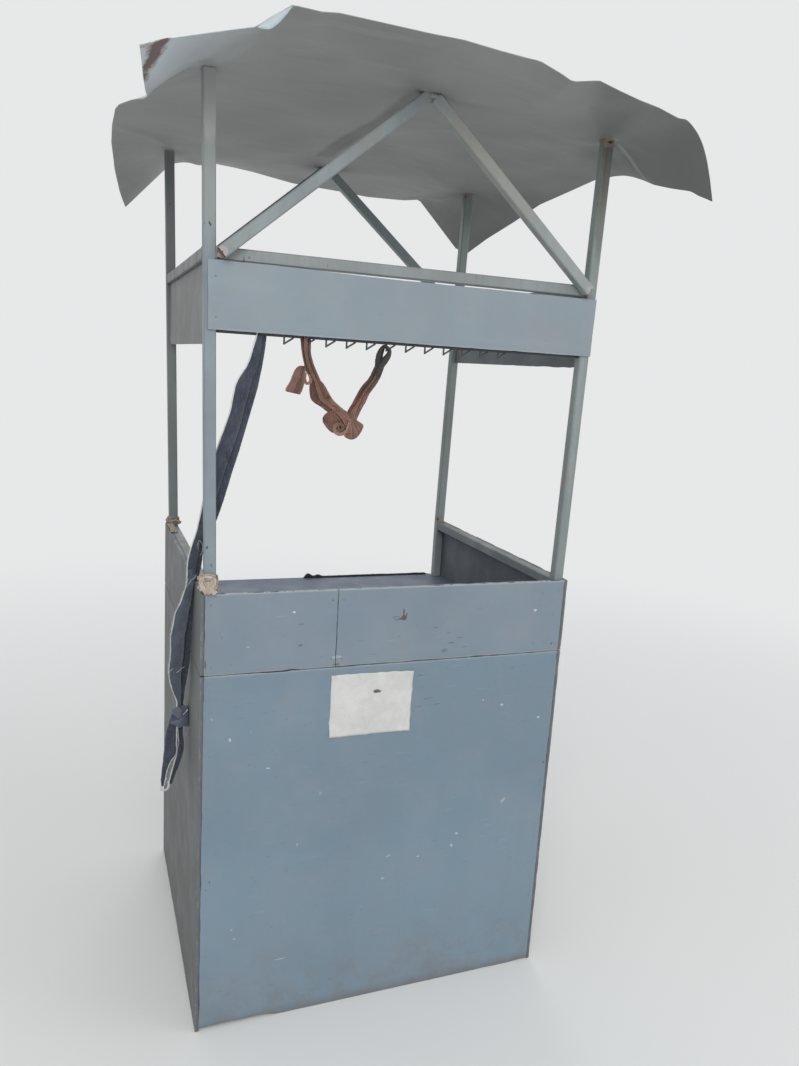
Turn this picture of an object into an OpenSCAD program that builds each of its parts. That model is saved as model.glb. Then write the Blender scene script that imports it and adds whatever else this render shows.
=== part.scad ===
// Street kiosk: a boarded base with a recessed counter, four tall square
// tube posts, a header board on three sides, two welded gable frames and a
// loose crumpled sheet roof. All sizes in millimetres. The origin is on the
// ground at the middle of the base, +X to the right of a person who faces
// the front, +Y to the rear and +Z up.

/* [Base box] */
// width over the side boards
box_w = 914; // [700:1:1300]
// depth from the front boards to the rear board
box_d = 796; // [560:1:1100]
// height of the seam between the lower and the upper boards
seam_h = 904; // [700:1:1000]
// height of the upper boards' top edge
apron_h = 1091; // [1020:1:1250]
// thickness of the base boards
board_t = 9; // [6:0.5:15]
// open joint between neighbouring boards
seam_gap = 1; // [0.5:0.1:2]
// distance of the upright seam from the left side of the box
upright_seam = 309; // [150:1:600]

/* [Counter] */
// height of the counter's top face
counter_h = 905; // [800:1:960]
// thickness of the counter board
counter_t = 12; // [9:0.5:20]
// play between the counter's notches and the posts
notch_gap = 1; // [0.5:0.1:3]

/* [Tube frame] */
// side of the square tube
tube_s = 25; // [20:1:40]
// wall of the square tube
tube_t = 2; // [1.5:0.1:3]
// bevel that stands for the tube's rounded corners
tube_c = 2.4; // [1:0.1:4]
// height of the four posts
post_h = 2135; // [1950:1:2400]
// how far a post's top stands out to its side, from upright at the boards' top edge
post_splay = 18; // [0:0.5:30]
// height of the top rails' upper face
rail_h = 1809; // [1700:1:1900]

/* [Header boards] */
// height of the front header's lower edge
header_low = 1646; // [1500:1:1690]
// light gap between the front header and the rail over it
header_gap = 5; // [2:0.5:12]
// thickness of the header boards
header_t = 4; // [3:0.5:9]
// distance of the front header's left end from the post's left face
header_inset = 8; // [0:0.5:20]
// height of the side headers' lower edge
side_header_low = 1617; // [1480:1:1690]

/* [Gable frames] */
// height of the gable's tip over the post tops, where the sheet rests
ridge_rise = 20; // [5:1:200]
// side of the gable bars
gable_s = 25; // [18:1:32]
// height of a gable bar's lower corner above the rail's lower face
gable_foot = 2; // [1:0.5:20]
// length of the flat on the gable's tip
tip_flat = 16; // [8:0.5:20]

/* [Roof sheet] */
// thickness of the sheet
sheet_t = 1.2; // [0.8:0.1:3]
// sheet beyond the posts at each side
side_hang = 146; // [80:1:220]
// sheet beyond the posts at the front and the rear
end_hang = 217; // [80:1:280]
// fall of the two right corners below the post tops
corner_fall = 146; // [0:1:200]
// greatest distance a corner is drawn in by its bend
corner_draw = 55; // [0:1:70]
// depth of the dents in the sheet
dent = 7; // [0:0.5:20]

/* [Hook rail] */
// diameter of the rail behind the front header's lower edge
hook_rail_d = 8; // [5:0.5:12]
// drop of the rail's centre below the header's lower edge
hook_rail_drop = 1; // [0:0.5:10]
// wire of the hooks
hook_d = 4; // [3:0.5:6]
// number of hooks
hook_n = 12; // [2:1:16]
// distance between hooks
hook_step = 46; // [25:1:60]
// distance of the first hook from the left side of the box
hook_first = 168; // [80:1:300]
// height of a hook's upright leg below the rail
hook_leg = 17; // [10:0.5:40]
// reach of a hook's slanting leg
hook_reach = 20; // [10:0.5:30]

/* [Soft parts] */
// greatest width of the denim cloth
cloth_w = 62; // [30:1:90]
// thickness of the bunched denim cloth
cloth_t = 16; // [8:0.5:24]
// distance of the cloth's tie from the left side of the box
cloth_in = 128; // [60:1:150]
// distance of the hanging cloth's middle from the left board
cloth_out = 14; // [13:0.5:30]
// distance of the cloth's tail behind the hook rail
cloth_back = 196; // [120:1:300]
// length of cloth that hangs below the boards' top edge
cloth_drop = 471; // [200:1:700]
// radius of the twisted rag
rag_r = 11; // [6:0.5:16]
// distance of the rag's left end from the left side of the box
rag_in = 201; // [198:1:204]
// distance between the rag's two ends
rag_span = 184; // [182:1:187]
// depth of the loop the rag makes
rag_sag = 172; // [80:1:300]
// clearance between a soft part and what carries it
soft_gap = 0.3; // [0.2:0.05:1]
// thickness of the tape wraps on the posts
wrap_t = 4; // [2:0.5:8]
// height of the tape wrap on the front post
front_wrap_h = 42; // [20:1:80]
// height of the tape wrap on the rear post
rear_wrap_h = 38; // [20:1:80]
// length of the strip on the counter's rear edge
strip_len = 438; // [100:1:700]
// end gap between the strip and the right post
strip_gap = 12; // [2:1:60]
// width of the strip
strip_w = 8; // [4:0.5:20]
// height of the strip
strip_h = 6; // [2:0.5:12]
// distance of the strip from the counter's rear edge
strip_edge = 2; // [0:0.5:10]

/* [Hidden] */
$fn = 24;
e = 0.01;
half_w = box_w / 2;
half_d = box_d / 2;
// outer faces of the posts
post_x = half_w - board_t;
post_y = half_d - board_t;
// inner faces of the posts
in_x = post_x - tube_s;
in_y = post_y - tube_s;
// the same faces at the tops of the posts
top_x = post_x + post_splay;
top_in = in_x + post_splay;
// outward shift of the posts at height z
function splay(z) = post_splay * max(0, z - apron_h) / (post_h - apron_h);
rail_low = rail_h - tube_s;
rail_splay = splay(rail_low + tube_s / 2);
frame_top = counter_h - counter_t;
// left side of the box, for sizes measured from it
left_x = -half_w;
seam_x = left_x + upright_seam;
header_top = rail_low - header_gap;
hook_z = header_low - hook_rail_drop;
hook_y = -post_y + tube_s / 2;
ridge_h = post_h + ridge_rise;

paint = [0.55, 0.62, 0.66];
paint_pale = [0.60, 0.66, 0.68];
paint_dark = [0.36, 0.40, 0.44];
sheet_paint = [0.50, 0.54, 0.55];
steel = [0.25, 0.27, 0.29];
denim = [0.13, 0.17, 0.27];
rag_cloth = [0.62, 0.33, 0.20];
tape = [0.72, 0.63, 0.54];
black = [0.07, 0.07, 0.08];

// Square tube.

// corners of the outer and the inner outline
function tube_outer(s) = [
    [tube_c, 0], [s - tube_c, 0], [s, tube_c], [s, s - tube_c],
    [s - tube_c, s], [tube_c, s], [0, s - tube_c], [0, tube_c]
];
function tube_inner(s) = [
    [tube_t, tube_t], [s - tube_t, tube_t], [s - tube_t, s - tube_t], [tube_t, s - tube_t]
];

module tube_profile(s = tube_s) {
    difference() {
        polygon(tube_outer(s));
        polygon(tube_inner(s));
    }
}

module tube_across(w) {
    rotate([90, 0, 90])
        linear_extrude(w)
            tube_profile();
}

module tube_back(d) {
    translate([0, d, 0])
        rotate([90, 0, 0])
            linear_extrude(d)
                tube_profile();
}

// box given by its low and high corners
module slab(low, high) {
    translate(low)
        cube(high - low);
}

// Boards of the base.

module front_board() {
    color(paint)
        slab([-post_x, -half_d, 0], [post_x, -post_y, seam_h - seam_gap]);
}

module front_band_left() {
    color(paint)
        slab([-post_x, -half_d, seam_h], [seam_x - seam_gap / 2, -post_y, apron_h]);
}

module front_band_right() {
    color(paint)
        slab([seam_x + seam_gap / 2, -half_d, seam_h], [post_x, -post_y, apron_h]);
}

module side_board() {
    slab([post_x, -half_d, 0], [half_w, half_d, seam_h - seam_gap]);
}

module side_upper_board() {
    slab([post_x, -half_d, seam_h], [half_w, half_d, apron_h]);
}

module left_board() {
    color(paint)
        mirror([1, 0, 0])
            side_board();
}

module left_upper_board() {
    color(paint)
        mirror([1, 0, 0])
            side_upper_board();
}

module right_board() {
    color(paint)
        side_board();
}

module right_upper_board() {
    color(paint)
        side_upper_board();
}

module rear_board() {
    color(paint)
        slab([-post_x, post_y, 0], [post_x, half_d, frame_top]);
}

// Counter.

module counter_top() {
    notch = tube_s + notch_gap;
    counter_mid = frame_top + counter_t / 2;
    color(paint_dark)
        difference() {
            slab([-post_x, -post_y, frame_top], [post_x, half_d, counter_h]);
            for (sx = [-1, 1])
                for (sy = [-1, 1])
                    translate([sx * (post_x - notch / 2), sy * (post_y - notch / 2), counter_mid])
                        cube([notch + e, notch + e, 2 * counter_t], center = true);
            // the rear strip between the side boards is cut back to the posts' rear faces
            for (sx = [-1, 1])
                translate([sx * (post_x - notch / 2), post_y, counter_mid])
                    cube([notch + e, notch, 2 * counter_t], center = true);
        }
}

// four bearers that join the posts with their upper faces at height z
module bearers(z) {
    for (sy = [-1, 1])
        translate([-in_x, sy > 0 ? in_y : -post_y, z - tube_s])
            tube_across(2 * in_x);
    for (sx = [-1, 1])
        translate([sx > 0 ? in_x : -post_x, -in_y, z - tube_s])
            tube_back(2 * in_y);
}

module counter_frame() {
    color(paint_dark)
        bearers(frame_top);
}

module bottom_frame() {
    color(paint_dark)
        bearers(tube_s);
}

module board_rail() {
    translate([in_x, -in_y, apron_h - tube_s])
        tube_back(2 * in_y);
}

module left_board_rail() {
    color(paint_dark)
        mirror([1, 0, 0])
            board_rail();
}

module right_board_rail() {
    color(paint_dark)
        board_rail();
}

// Posts and top rails.

// an outline lifted to height z and moved across by dx
function lifted(outline, dx, z) = [for (p = outline) [p[0] + dx, p[1], z]];

// a post is upright below the boards' top edge and leans to its side above it
module post(sx, sy) {
    over = e * post_splay / (post_h - apron_h);
    color(paint_pale)
        translate([sx > 0 ? in_x : -post_x, sy > 0 ? in_y : -post_y, 0])
            difference() {
                skin([
                    lifted(tube_outer(tube_s), 0, 0),
                    lifted(tube_outer(tube_s), 0, apron_h),
                    lifted(tube_outer(tube_s), sx * post_splay, post_h)
                ]);
                skin([
                    lifted(tube_inner(tube_s), 0, -e),
                    lifted(tube_inner(tube_s), 0, apron_h),
                    lifted(tube_inner(tube_s), sx * (post_splay + over), post_h + e)
                ]);
            }
}

// everything between the inner faces of the left and the right posts, from height a to b
module between_posts(a, b) {
    low = in_x + splay(a);
    high = in_x + splay(b);
    translate([0, half_d, 0])
        rotate([90, 0, 0])
            linear_extrude(box_d)
                polygon([[-low, a], [low, a], [high, b], [-high, b]]);
}

// tube along the width, its ends cut to the lean of the posts
module top_tube_across(y) {
    intersection() {
        translate([-half_w, y, rail_low])
            tube_across(box_w);
        between_posts(rail_low - e, rail_h + e);
    }
}

module post_front_left() {
    post(-1, -1);
}

module post_front_right() {
    post(1, -1);
}

module post_rear_left() {
    post(-1, 1);
}

module post_rear_right() {
    post(1, 1);
}

module front_rail() {
    color(paint_pale)
        top_tube_across(-post_y);
}

module rear_rail() {
    color(paint_pale)
        top_tube_across(in_y);
}

module right_rail() {
    color(paint_pale)
        translate([in_x + rail_splay, -in_y, rail_low])
            tube_back(2 * in_y);
}

module left_rail() {
    color(paint_pale)
        translate([-post_x - rail_splay, -in_y, rail_low])
            tube_back(2 * in_y);
}

// Header boards.

// the ends of the front header follow the posts
module front_header() {
    low = post_x + splay(header_low);
    high = post_x + splay(header_top);
    color(paint)
        translate([0, -post_y, 0])
            rotate([90, 0, 0])
                linear_extrude(header_t)
                    polygon([
                        [header_inset - low, header_low], [low, header_low],
                        [high, header_top], [header_inset - high, header_top]
                    ]);
}

// a side header hangs under the middle of its rail, between the posts
module side_header() {
    mid_x = in_x + tube_s / 2 + rail_splay;
    slab([mid_x - header_t / 2, -in_y, side_header_low], [mid_x + header_t / 2, in_y, rail_low]);
}

module left_header() {
    color(paint_dark)
        mirror([1, 0, 0])
            side_header();
}

module right_header() {
    color(paint_dark)
        side_header();
}

// Gable frames.

// A gable bar lies on the outer face of its rail. The first bar of a pair
// runs through to the tip, the second is cut to lie under it.

foot_z = rail_low + gable_foot;
// the foot's outer corner meets the post's inner face
foot_in = in_x + splay(foot_z);
// slope from the foot's lower corner on the rail to the tip, found for the
// centre line and good to a fraction of a degree
slope = atan((ridge_h - foot_z - gable_s / 2) / (foot_in - gable_s / 2));
// lower corner of the foot, seen along Y
foot_x = -foot_in + gable_s * sin(slope);
// the lower edge's height over the middle of the box
under_mid = foot_z - foot_x * tan(slope);
// length of bar that reaches past the tip before it is trimmed
bar_len = 2 * foot_in;
// where the long bar's upper edge reaches the tip's height and the flat begins
tip_x = (ridge_h - under_mid - gable_s / cos(slope)) / tan(slope);

// tube that rises to the right from the left foot, its outer face on Y = 0
module rising_tube() {
    translate([foot_x, 0, foot_z])
        rotate([0, -slope, 0])
            rotate([90, 0, 90])
                linear_extrude(bar_len)
                    tube_profile(gable_s);
}

// everything below the tip and left of the flat's right end
module long_bar_room() {
    slab([-box_w, -e, foot_z - gable_s], [tip_x + tip_flat, gable_s + e, ridge_h]);
}

// everything above the long bar's lower edge
module short_bar_cut() {
    translate([foot_x, -e, foot_z])
        rotate([0, -slope, 0])
            translate([-bar_len, 0, 0])
                cube([3 * bar_len, gable_s + 2 * e, 2 * bar_len]);
}

module long_bar() {
    intersection() {
        rising_tube();
        long_bar_room();
    }
}

module short_bar() {
    difference() {
        mirror([1, 0, 0])
            rising_tube();
        short_bar_cut();
    }
}

module front_gable() {
    color(paint_pale)
        translate([0, -post_y - gable_s, 0])
            children();
}

module rear_gable() {
    color(paint_pale)
        translate([0, post_y, 0])
            children();
}

module front_gable_left() {
    front_gable()
        long_bar();
}

module front_gable_right() {
    front_gable()
        short_bar();
}

module rear_gable_left() {
    rear_gable()
        long_bar();
}

module rear_gable_right() {
    rear_gable()
        short_bar();
}

// Roof sheet.

// Lines of the sheet's grid. They run along the sides of every seat, so that
// the sheet is flat where it is welded down.
function steps(a, b, n) = [for (i = [0:n - 1]) a + (b - a) * i / n];
// clearance of the flat in the sheet round the gable's tip
seat_ease = 2;
seat_l = tip_x - seat_ease;
seat_r = tip_x + tip_flat + seat_ease;
sheet_x = top_x + side_hang;
sheet_y = post_y + end_hang;
tip_front = -post_y - gable_s;
tip_rear = post_y + gable_s;
// numbers of grid steps: side overhang, half width, end overhang, depth
side_steps = 7;
half_steps = 10;
end_steps = 7;
deep_steps = 17;
grid_x = concat(
    steps(-sheet_x, -top_x, side_steps), [-top_x], steps(-top_in, seat_l, half_steps),
    [seat_l], steps(seat_r, top_in, half_steps), [top_in], steps(top_x, sheet_x, side_steps),
    [sheet_x]
);
grid_y = concat(
    steps(-sheet_y, tip_front, end_steps), [tip_front, -post_y],
    steps(-in_y, in_y, deep_steps), [in_y, post_y], steps(tip_rear, sheet_y, end_steps),
    [sheet_y]
);
nx = len(grid_x);
ny = len(grid_y);

// Bends of the sheet's edges. Each pair is the place along the edge, from -1
// to 1, and the height over the post tops as a share of corner_fall.
front_edge = [
    [-1, -0.37], [-0.93, -0.27], [-0.71, 0], [-0.64, 0.07], [-0.56, 0.38], [-0.34, 0.39],
    [0.02, 0.37], [0.23, 0.33], [0.35, 0.17], [0.45, 0.25], [0.57, 0.18], [0.7, 0.07],
    [0.8, -0.03], [0.86, -0.14], [0.91, -0.31], [0.95, -0.57], [1, -1]
];
rear_edge = [
    [-1, -0.86], [-0.73, -0.1], [-0.68, 0.05], [-0.64, 0.18], [-0.47, 0.2], [-0.26, 0.12],
    [-0.1, 0.02], [0.22, 0.03], [0.52, 0], [0.62, 0.05], [0.87, -0.9], [1, -1]
];
left_edge = [
    [-1, -0.37], [-0.64, -0.39], [-0.46, -0.31], [-0.26, -0.14], [-0.12, -0.13],
    [0.19, -0.09], [0.4, -0.24], [0.71, -0.4], [0.88, -0.66], [1, -0.86]
];
right_edge = [
    [-1, -1], [-0.87, -0.81], [-0.62, -0.52], [-0.51, -0.39], [-0.37, -0.2], [-0.16, -0.11],
    [0.11, -0.23], [0.42, -0.36], [0.56, -0.44], [1, -1]
];
// how far the left and the right edge are drawn in, as a share of corner_draw
left_draw = [
    [-1, 0.29], [-0.64, 0.82], [-0.46, 0.84], [-0.26, 0.47], [-0.2, 0.15], [-0.12, 0],
    [0.19, 0], [0.4, 0.05], [0.71, 0.33], [0.88, 0.65], [1, 1]
];
right_draw = [[-1, 0.51], [-0.6, 0.25], [-0.1, 0], [0.4, 0], [1, 0.8]];
// how sharply the overhangs bend at the post line, 1 is a plain fold
side_bend = 1.25;
end_bend = 1.1;

function clamp(v, lo, hi) = max(lo, min(hi, v));
function smooth(v) = v <= 0 ? 0 : v >= 1 ? 1 : v * v * (3 - 2 * v);
// how far a point lies in the overhang, 0 at the post line and 1 at the edge
function side_part(x) = clamp((abs(x) - top_x) / side_hang, 0, 1);
function end_part(y) = clamp((abs(y) - post_y) / end_hang, 0, 1);
// tent between the post tops and the two gable tips
tip_mid = tip_x + tip_flat / 2;
function tent(x) = post_h
    + ridge_rise * (1 - clamp((abs(x - tip_mid) - tip_flat) / (top_in - tip_flat), 0, 1));
// shallow dents, fading out towards the seats within this distance
dent_free = 40;
dent_fade = 120;
function seat_near(x, y) = min(
    norm([abs(x) - top_x + tube_s / 2, abs(y) - post_y + tube_s / 2]),
    norm([x - tip_mid, abs(y) - post_y - gable_s / 2])
);
// places in whole turns across the sheet, so that the dents keep their number
function turn_x(x) = 360 * x / sheet_x;
function turn_y(y) = 360 * y / sheet_y;
function ripple(x, y) = dent * smooth((seat_near(x, y) - dent_free) / dent_fade)
    * (sin(1.05 * turn_x(x) + 0.35 * turn_y(y)) + 0.6 * sin(1.5 * turn_y(y) - 0.56 * turn_x(x) + 60)
    + 0.5 * sin(2.9 * turn_x(x) + 20) * cos(1.85 * turn_y(y)));
function on_seat(x, y) =
    abs(y) >= in_y - e && abs(y) <= post_y + e && abs(x) >= top_in - e && abs(x) <= top_x + e;
function on_tip(x, y) =
    abs(y) >= post_y - e && abs(y) <= post_y + gable_s + e && x >= seat_l - e && x <= seat_r + e;
function edge_rise(bends, place) = corner_fall * lookup(place, bends);
// the bends of the two nearest edges together, less what both give at the corner
function sheet_z(x, y) =
    on_seat(x, y) ? post_h
    : on_tip(x, y) ? ridge_h
    : let (
        p = pow(side_part(x), side_bend),
        q = pow(end_part(y), end_bend),
        end_edge = y < 0 ? front_edge : rear_edge,
        side_edge = x < 0 ? left_edge : right_edge,
        end_rise = edge_rise(end_edge, x / sheet_x),
        side_rise = edge_rise(side_edge, y / sheet_y),
        corner = edge_rise(end_edge, sign(x)),
        base = tent(x)
    )
    base + q * (post_h + end_rise - base) + p * side_rise - p * q * corner + ripple(x, y);
function draw_in(x, y) = corner_draw * pow(side_part(x), 2)
    * lookup(y / sheet_y, x < 0 ? left_draw : right_draw);
function sheet_pt(i, j, up) = let (x = grid_x[i], y = grid_y[j])
    [x - sign(x) * draw_in(x, y), y, sheet_z(x, y) + up];

module roof_sheet() {
    pts = concat(
        [for (j = [0:ny - 1]) for (i = [0:nx - 1]) sheet_pt(i, j, 0)],
        [for (j = [0:ny - 1]) for (i = [0:nx - 1]) sheet_pt(i, j, sheet_t)]
    );
    up = nx * ny;
    under = [for (j = [0:ny - 2]) for (i = [0:nx - 2]) for (k = [0, 1])
        let (a = j * nx + i, b = a + 1, c = a + nx, d = c + 1) k == 0 ? [a, b, d] : [a, d, c]];
    over = [for (j = [0:ny - 2]) for (i = [0:nx - 2]) for (k = [0, 1])
        let (a = up + j * nx + i, b = a + 1, c = a + nx, d = c + 1) k == 0 ? [a, d, b] : [a, c, d]];
    front = [for (i = [0:nx - 2]) for (k = [0, 1])
        let (a = i, b = i + 1) k == 0 ? [a, up + b, b] : [a, up + a, up + b]];
    rear = [for (i = [0:nx - 2]) for (k = [0, 1])
        let (a = (ny - 1) * nx + i, b = a + 1) k == 0 ? [a, b, up + b] : [a, up + b, up + a]];
    left = [for (j = [0:ny - 2]) for (k = [0, 1])
        let (a = j * nx, b = a + nx) k == 0 ? [a, b, up + b] : [a, up + b, up + a]];
    right = [for (j = [0:ny - 2]) for (k = [0, 1])
        let (a = j * nx + nx - 1, b = a + nx) k == 0 ? [a, up + b, b] : [a, up + a, up + b]];
    color(sheet_paint)
        polyhedron(pts, concat(under, over, front, rear, left, right));
}

// Hook rail.

module wire(a, b, d) {
    v = b - a;
    translate(a)
        rotate([0, acos(v[2] / norm(v)), atan2(v[1], v[0])])
            cylinder(h = norm(v), d = d, $fn = 12);
}

module hook_rail() {
    color(steel) {
        intersection() {
            rotate([0, 90, 0])
                translate([-hook_z, hook_y, -half_w])
                    cylinder(h = box_w, d = hook_rail_d);
            between_posts(hook_z - hook_rail_d, hook_z + hook_rail_d);
        }
        for (i = [0:hook_n - 1])
            translate([left_x + hook_first + i * hook_step, hook_y, hook_z]) {
                translate([0, 0, -hook_leg - hook_d / 2])
                    cylinder(h = hook_leg + hook_d / 2, d = hook_d, $fn = 12);
                wire([0, 0, -hook_leg], [hook_reach, 0, -hook_rail_d / 2], hook_d);
            }
    }
}

// Soft parts.

// closed skin over rings of points: each ring is an ellipse round a centre
// with half sizes a and b along the directions u and v
function ring_pts(c, a, b, u, v, n) = [
    for (k = [0:n - 1]) c + u * a * cos(360 * k / n) + v * b * sin(360 * k / n)
];
module skin(rings) {
    m = len(rings);
    n = len(rings[0]);
    pts = [for (r = rings) each r];
    faces = concat(
        [[for (k = [0:n - 1]) k]],
        [for (j = [0:m - 2]) for (k = [0:n - 1]) for (h = [0, 1])
            let (a = j * n + k, b = j * n + (k + 1) % n, c = a + n, d = b + n)
            h == 0 ? [a, c, b] : [b, c, d]],
        [[for (k = [n - 1:-1:0]) (m - 1) * n + k]]
    );
    polyhedron(pts, faces);
}

cloth_top = hook_z - hook_rail_d / 2 - soft_gap;
// Rings of the cloth. The place across is a share of the way from the hanging
// part to the tie, the place back a share of cloth_back, and the height a share
// of the way from the boards' top edge up to the tie, or down to the tail below
// it. The last two are shares of cloth_w and cloth_t.
cloth_path = [
    [[1, 0, 1], 0.16, 0.5],
    [[0.89, 0.04, 0.91], 0.24, 0.6],
    [[0.69, 0.12, 0.74], 0.42, 0.6],
    [[0.51, 0.21, 0.54], 0.5, 0.6],
    [[0.35, 0.32, 0.34], 0.42, 0.6],
    [[0.17, 0.43, 0.16], 0.34, 0.55],
    [[0, 0.53, 0], 0.34, 0.5],
    [[0, 0.63, -0.19], 0.34, 0.5],
    [[-0.01, 0.77, -0.41], 0.44, 0.5],
    [[0, 0.86, -0.62], 0.3, 0.5],
    [[-0.01, 0.9, -0.73], 0.22, 0.6],
    [[-0.04, 0.92, -0.78], 0.4, 1],
    [[-0.04, 0.94, -0.83], 0.36, 0.9],
    [[-0.01, 0.96, -0.87], 0.18, 0.5],
    [[-0.01, 1, -1], 0.14, 0.4]
];
function cloth_at(s) = [
    left_x - cloth_out + s[0] * (cloth_in + cloth_out),
    hook_y + s[1] * cloth_back,
    apron_h + (s[2] > 0 ? s[2] * (cloth_top - apron_h) : s[2] * cloth_drop)
];
// the hanging cloth is turned a little out of the side board's plane
cloth_turn = 70;
cloth_u = [cos(cloth_turn), sin(cloth_turn), 0];
cloth_v = [sin(cloth_turn), -cos(cloth_turn), 0];

module denim_cloth() {
    color(denim)
        skin([for (s = cloth_path)
            ring_pts(cloth_at(s[0]), s[1] * cloth_w, s[2] * cloth_t, cloth_u, cloth_v, 12)]);
}

// Rings of the rag from its left end over the knot to its right end: share of
// rag_span across, share of rag_sag down, radius as a share of rag_r, and the
// angle of the rag's run below the horizontal.
rag_path = [
    [0, 0, 0.7, 90],
    [0.04, 0.2, 0.8, 80],
    [0.15, 0.43, 0.8, 65],
    [0.27, 0.65, 1.3, 55],
    [0.42, 0.84, 1.2, 40],
    [0.54, 1, 2, 10],
    [0.65, 0.93, 1.6, -50],
    [0.75, 0.72, 0.8, -65],
    [0.86, 0.49, 0.8, -62],
    [0.97, 0.26, 0.8, -75],
    [1, 0, 0.6, -90]
];

module orange_rag() {
    color(rag_cloth)
        skin([for (s = rag_path) ring_pts(
            [left_x + rag_in + s[0] * rag_span, hook_y, cloth_top - s[1] * rag_sag],
            s[2] * rag_r, s[2] * rag_r, [sin(s[3]), 0, cos(s[3])], [0, 1, 0], 10)]);
}

// tape round a post, a sleeve with cut corners and room for the post's lean
module wrap(low, high) {
    lean = splay(high);
    r = tube_s / 2 + wrap_t + lean / 2;
    translate([0, 0, low])
        linear_extrude(high - low)
            difference() {
                polygon([
                    [-r + wrap_t, -r], [r - wrap_t, -r], [r, -r + wrap_t], [r, r - wrap_t],
                    [r - wrap_t, r], [-r + wrap_t, r], [-r, r - wrap_t], [-r, -r + wrap_t]
                ]);
                square([tube_s + 2 * soft_gap + lean, tube_s + 2 * soft_gap], center = true);
            }
}

module front_post_wrap() {
    color(tape)
        translate([-post_x + tube_s / 2 - splay(apron_h + front_wrap_h) / 2, -post_y + tube_s / 2, 0])
            wrap(apron_h + soft_gap, apron_h + front_wrap_h);
}

module rear_post_wrap() {
    color(tape)
        translate([-post_x + tube_s / 2 - splay(apron_h + rear_wrap_h) / 2, post_y - tube_s / 2, 0])
            wrap(apron_h + soft_gap, apron_h + rear_wrap_h);
}

module counter_edge_strip() {
    color(black)
        slab(
            [in_x - strip_gap - strip_len, half_d - strip_edge - strip_w, counter_h],
            [in_x - strip_gap, half_d - strip_edge, counter_h + strip_h]
        );
}

front_board();
front_band_left();
front_band_right();
left_board();
left_upper_board();
right_board();
right_upper_board();
rear_board();
counter_top();
counter_frame();
bottom_frame();
left_board_rail();
right_board_rail();
post_front_left();
post_front_right();
post_rear_left();
post_rear_right();
front_rail();
rear_rail();
left_rail();
right_rail();
front_header();
left_header();
right_header();
front_gable_left();
front_gable_right();
rear_gable_left();
rear_gable_right();
roof_sheet();
hook_rail();
denim_cloth();
orange_rag();
front_post_wrap();
rear_post_wrap();
counter_edge_strip();
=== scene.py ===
"""Looks of the street kiosk: worn boards, painted tubes, a crumpled roof sheet, cloth and small fittings."""

import math

import bpy
import numpy as np
from mathutils import Matrix, Vector


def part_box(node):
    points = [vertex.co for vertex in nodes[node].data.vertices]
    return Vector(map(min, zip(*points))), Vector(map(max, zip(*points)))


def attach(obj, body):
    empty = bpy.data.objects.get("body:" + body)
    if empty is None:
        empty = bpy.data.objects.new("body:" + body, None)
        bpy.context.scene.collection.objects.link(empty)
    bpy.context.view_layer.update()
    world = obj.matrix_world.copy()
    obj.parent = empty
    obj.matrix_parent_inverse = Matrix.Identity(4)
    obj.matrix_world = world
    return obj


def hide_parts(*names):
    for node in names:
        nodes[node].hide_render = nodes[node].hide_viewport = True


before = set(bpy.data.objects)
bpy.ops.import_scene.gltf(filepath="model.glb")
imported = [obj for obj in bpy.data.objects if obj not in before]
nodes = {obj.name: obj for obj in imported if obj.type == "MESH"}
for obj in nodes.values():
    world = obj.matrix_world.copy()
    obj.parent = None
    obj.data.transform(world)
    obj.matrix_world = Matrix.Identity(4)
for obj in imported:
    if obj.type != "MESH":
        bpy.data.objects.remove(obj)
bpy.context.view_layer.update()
scene = bpy.context.scene

# Camera. The picture is 799 by 1066 pixels; the focal length is in its pixels.
PICTURE_W, PICTURE_H = 799, 1066
FOCAL = 832.69
SENSOR = 36
YAW, PITCH, TILT = 0.3735, 0.1980, 0.0620
EYE = Vector((-0.6962, -2.1512, 1.5974))
forward = Vector((math.sin(YAW) * math.cos(PITCH), math.cos(YAW) * math.cos(PITCH), -math.sin(PITCH)))
level_right = Vector((math.cos(YAW), -math.sin(YAW), 0))
level_up = level_right.cross(forward)
right = math.cos(TILT) * level_right + math.sin(TILT) * level_up
up = -math.sin(TILT) * level_right + math.cos(TILT) * level_up

camera_data = bpy.data.cameras.new("camera")
camera = bpy.data.objects.new("camera", camera_data)
scene.collection.objects.link(camera)
camera_data.sensor_width = SENSOR
camera_data.lens = FOCAL / PICTURE_H * SENSOR
camera_data.clip_end = 200
camera.matrix_world = Matrix((right, up, -forward)).transposed().to_4x4()
camera.location = EYE
scene.camera = camera


def seen_at(px, py, y):
    """The point at a pixel of the picture that has this y."""
    line = forward + right * ((px - PICTURE_W / 2) / FOCAL) - up * ((py - PICTURE_H / 2) / FOCAL)
    return EYE + line * ((y - EYE.y) / line.y)


def pixel_of(points):
    """Where points are seen in the picture."""
    p = np.asarray(points, float) - np.array(EYE)
    scale = FOCAL / (p @ np.array(forward))
    return PICTURE_W / 2 + p @ np.array(right) * scale, PICTURE_H / 2 - p @ np.array(up) * scale


# The posts stand upright to the top of the boards and lean outward above it.
POST_X, POST_Y = 0.4355, 0.3765
POST_HALF = 0.0125
POST_FACE = -0.389
BAR_FACE = -0.414
RAIL_Z = 1.795
LEAN_FROM = 1.091
POST_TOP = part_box("post_front_left")[1][2]
SPLAY = 0.018
LEAN = SPLAY / (POST_TOP - LEAN_FROM)
SHEET_THICK = 0.0012
FRONT_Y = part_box("front_board")[0][1]


def post_x(z):
    return POST_X + LEAN * max(0, z - LEAN_FROM)


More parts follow.
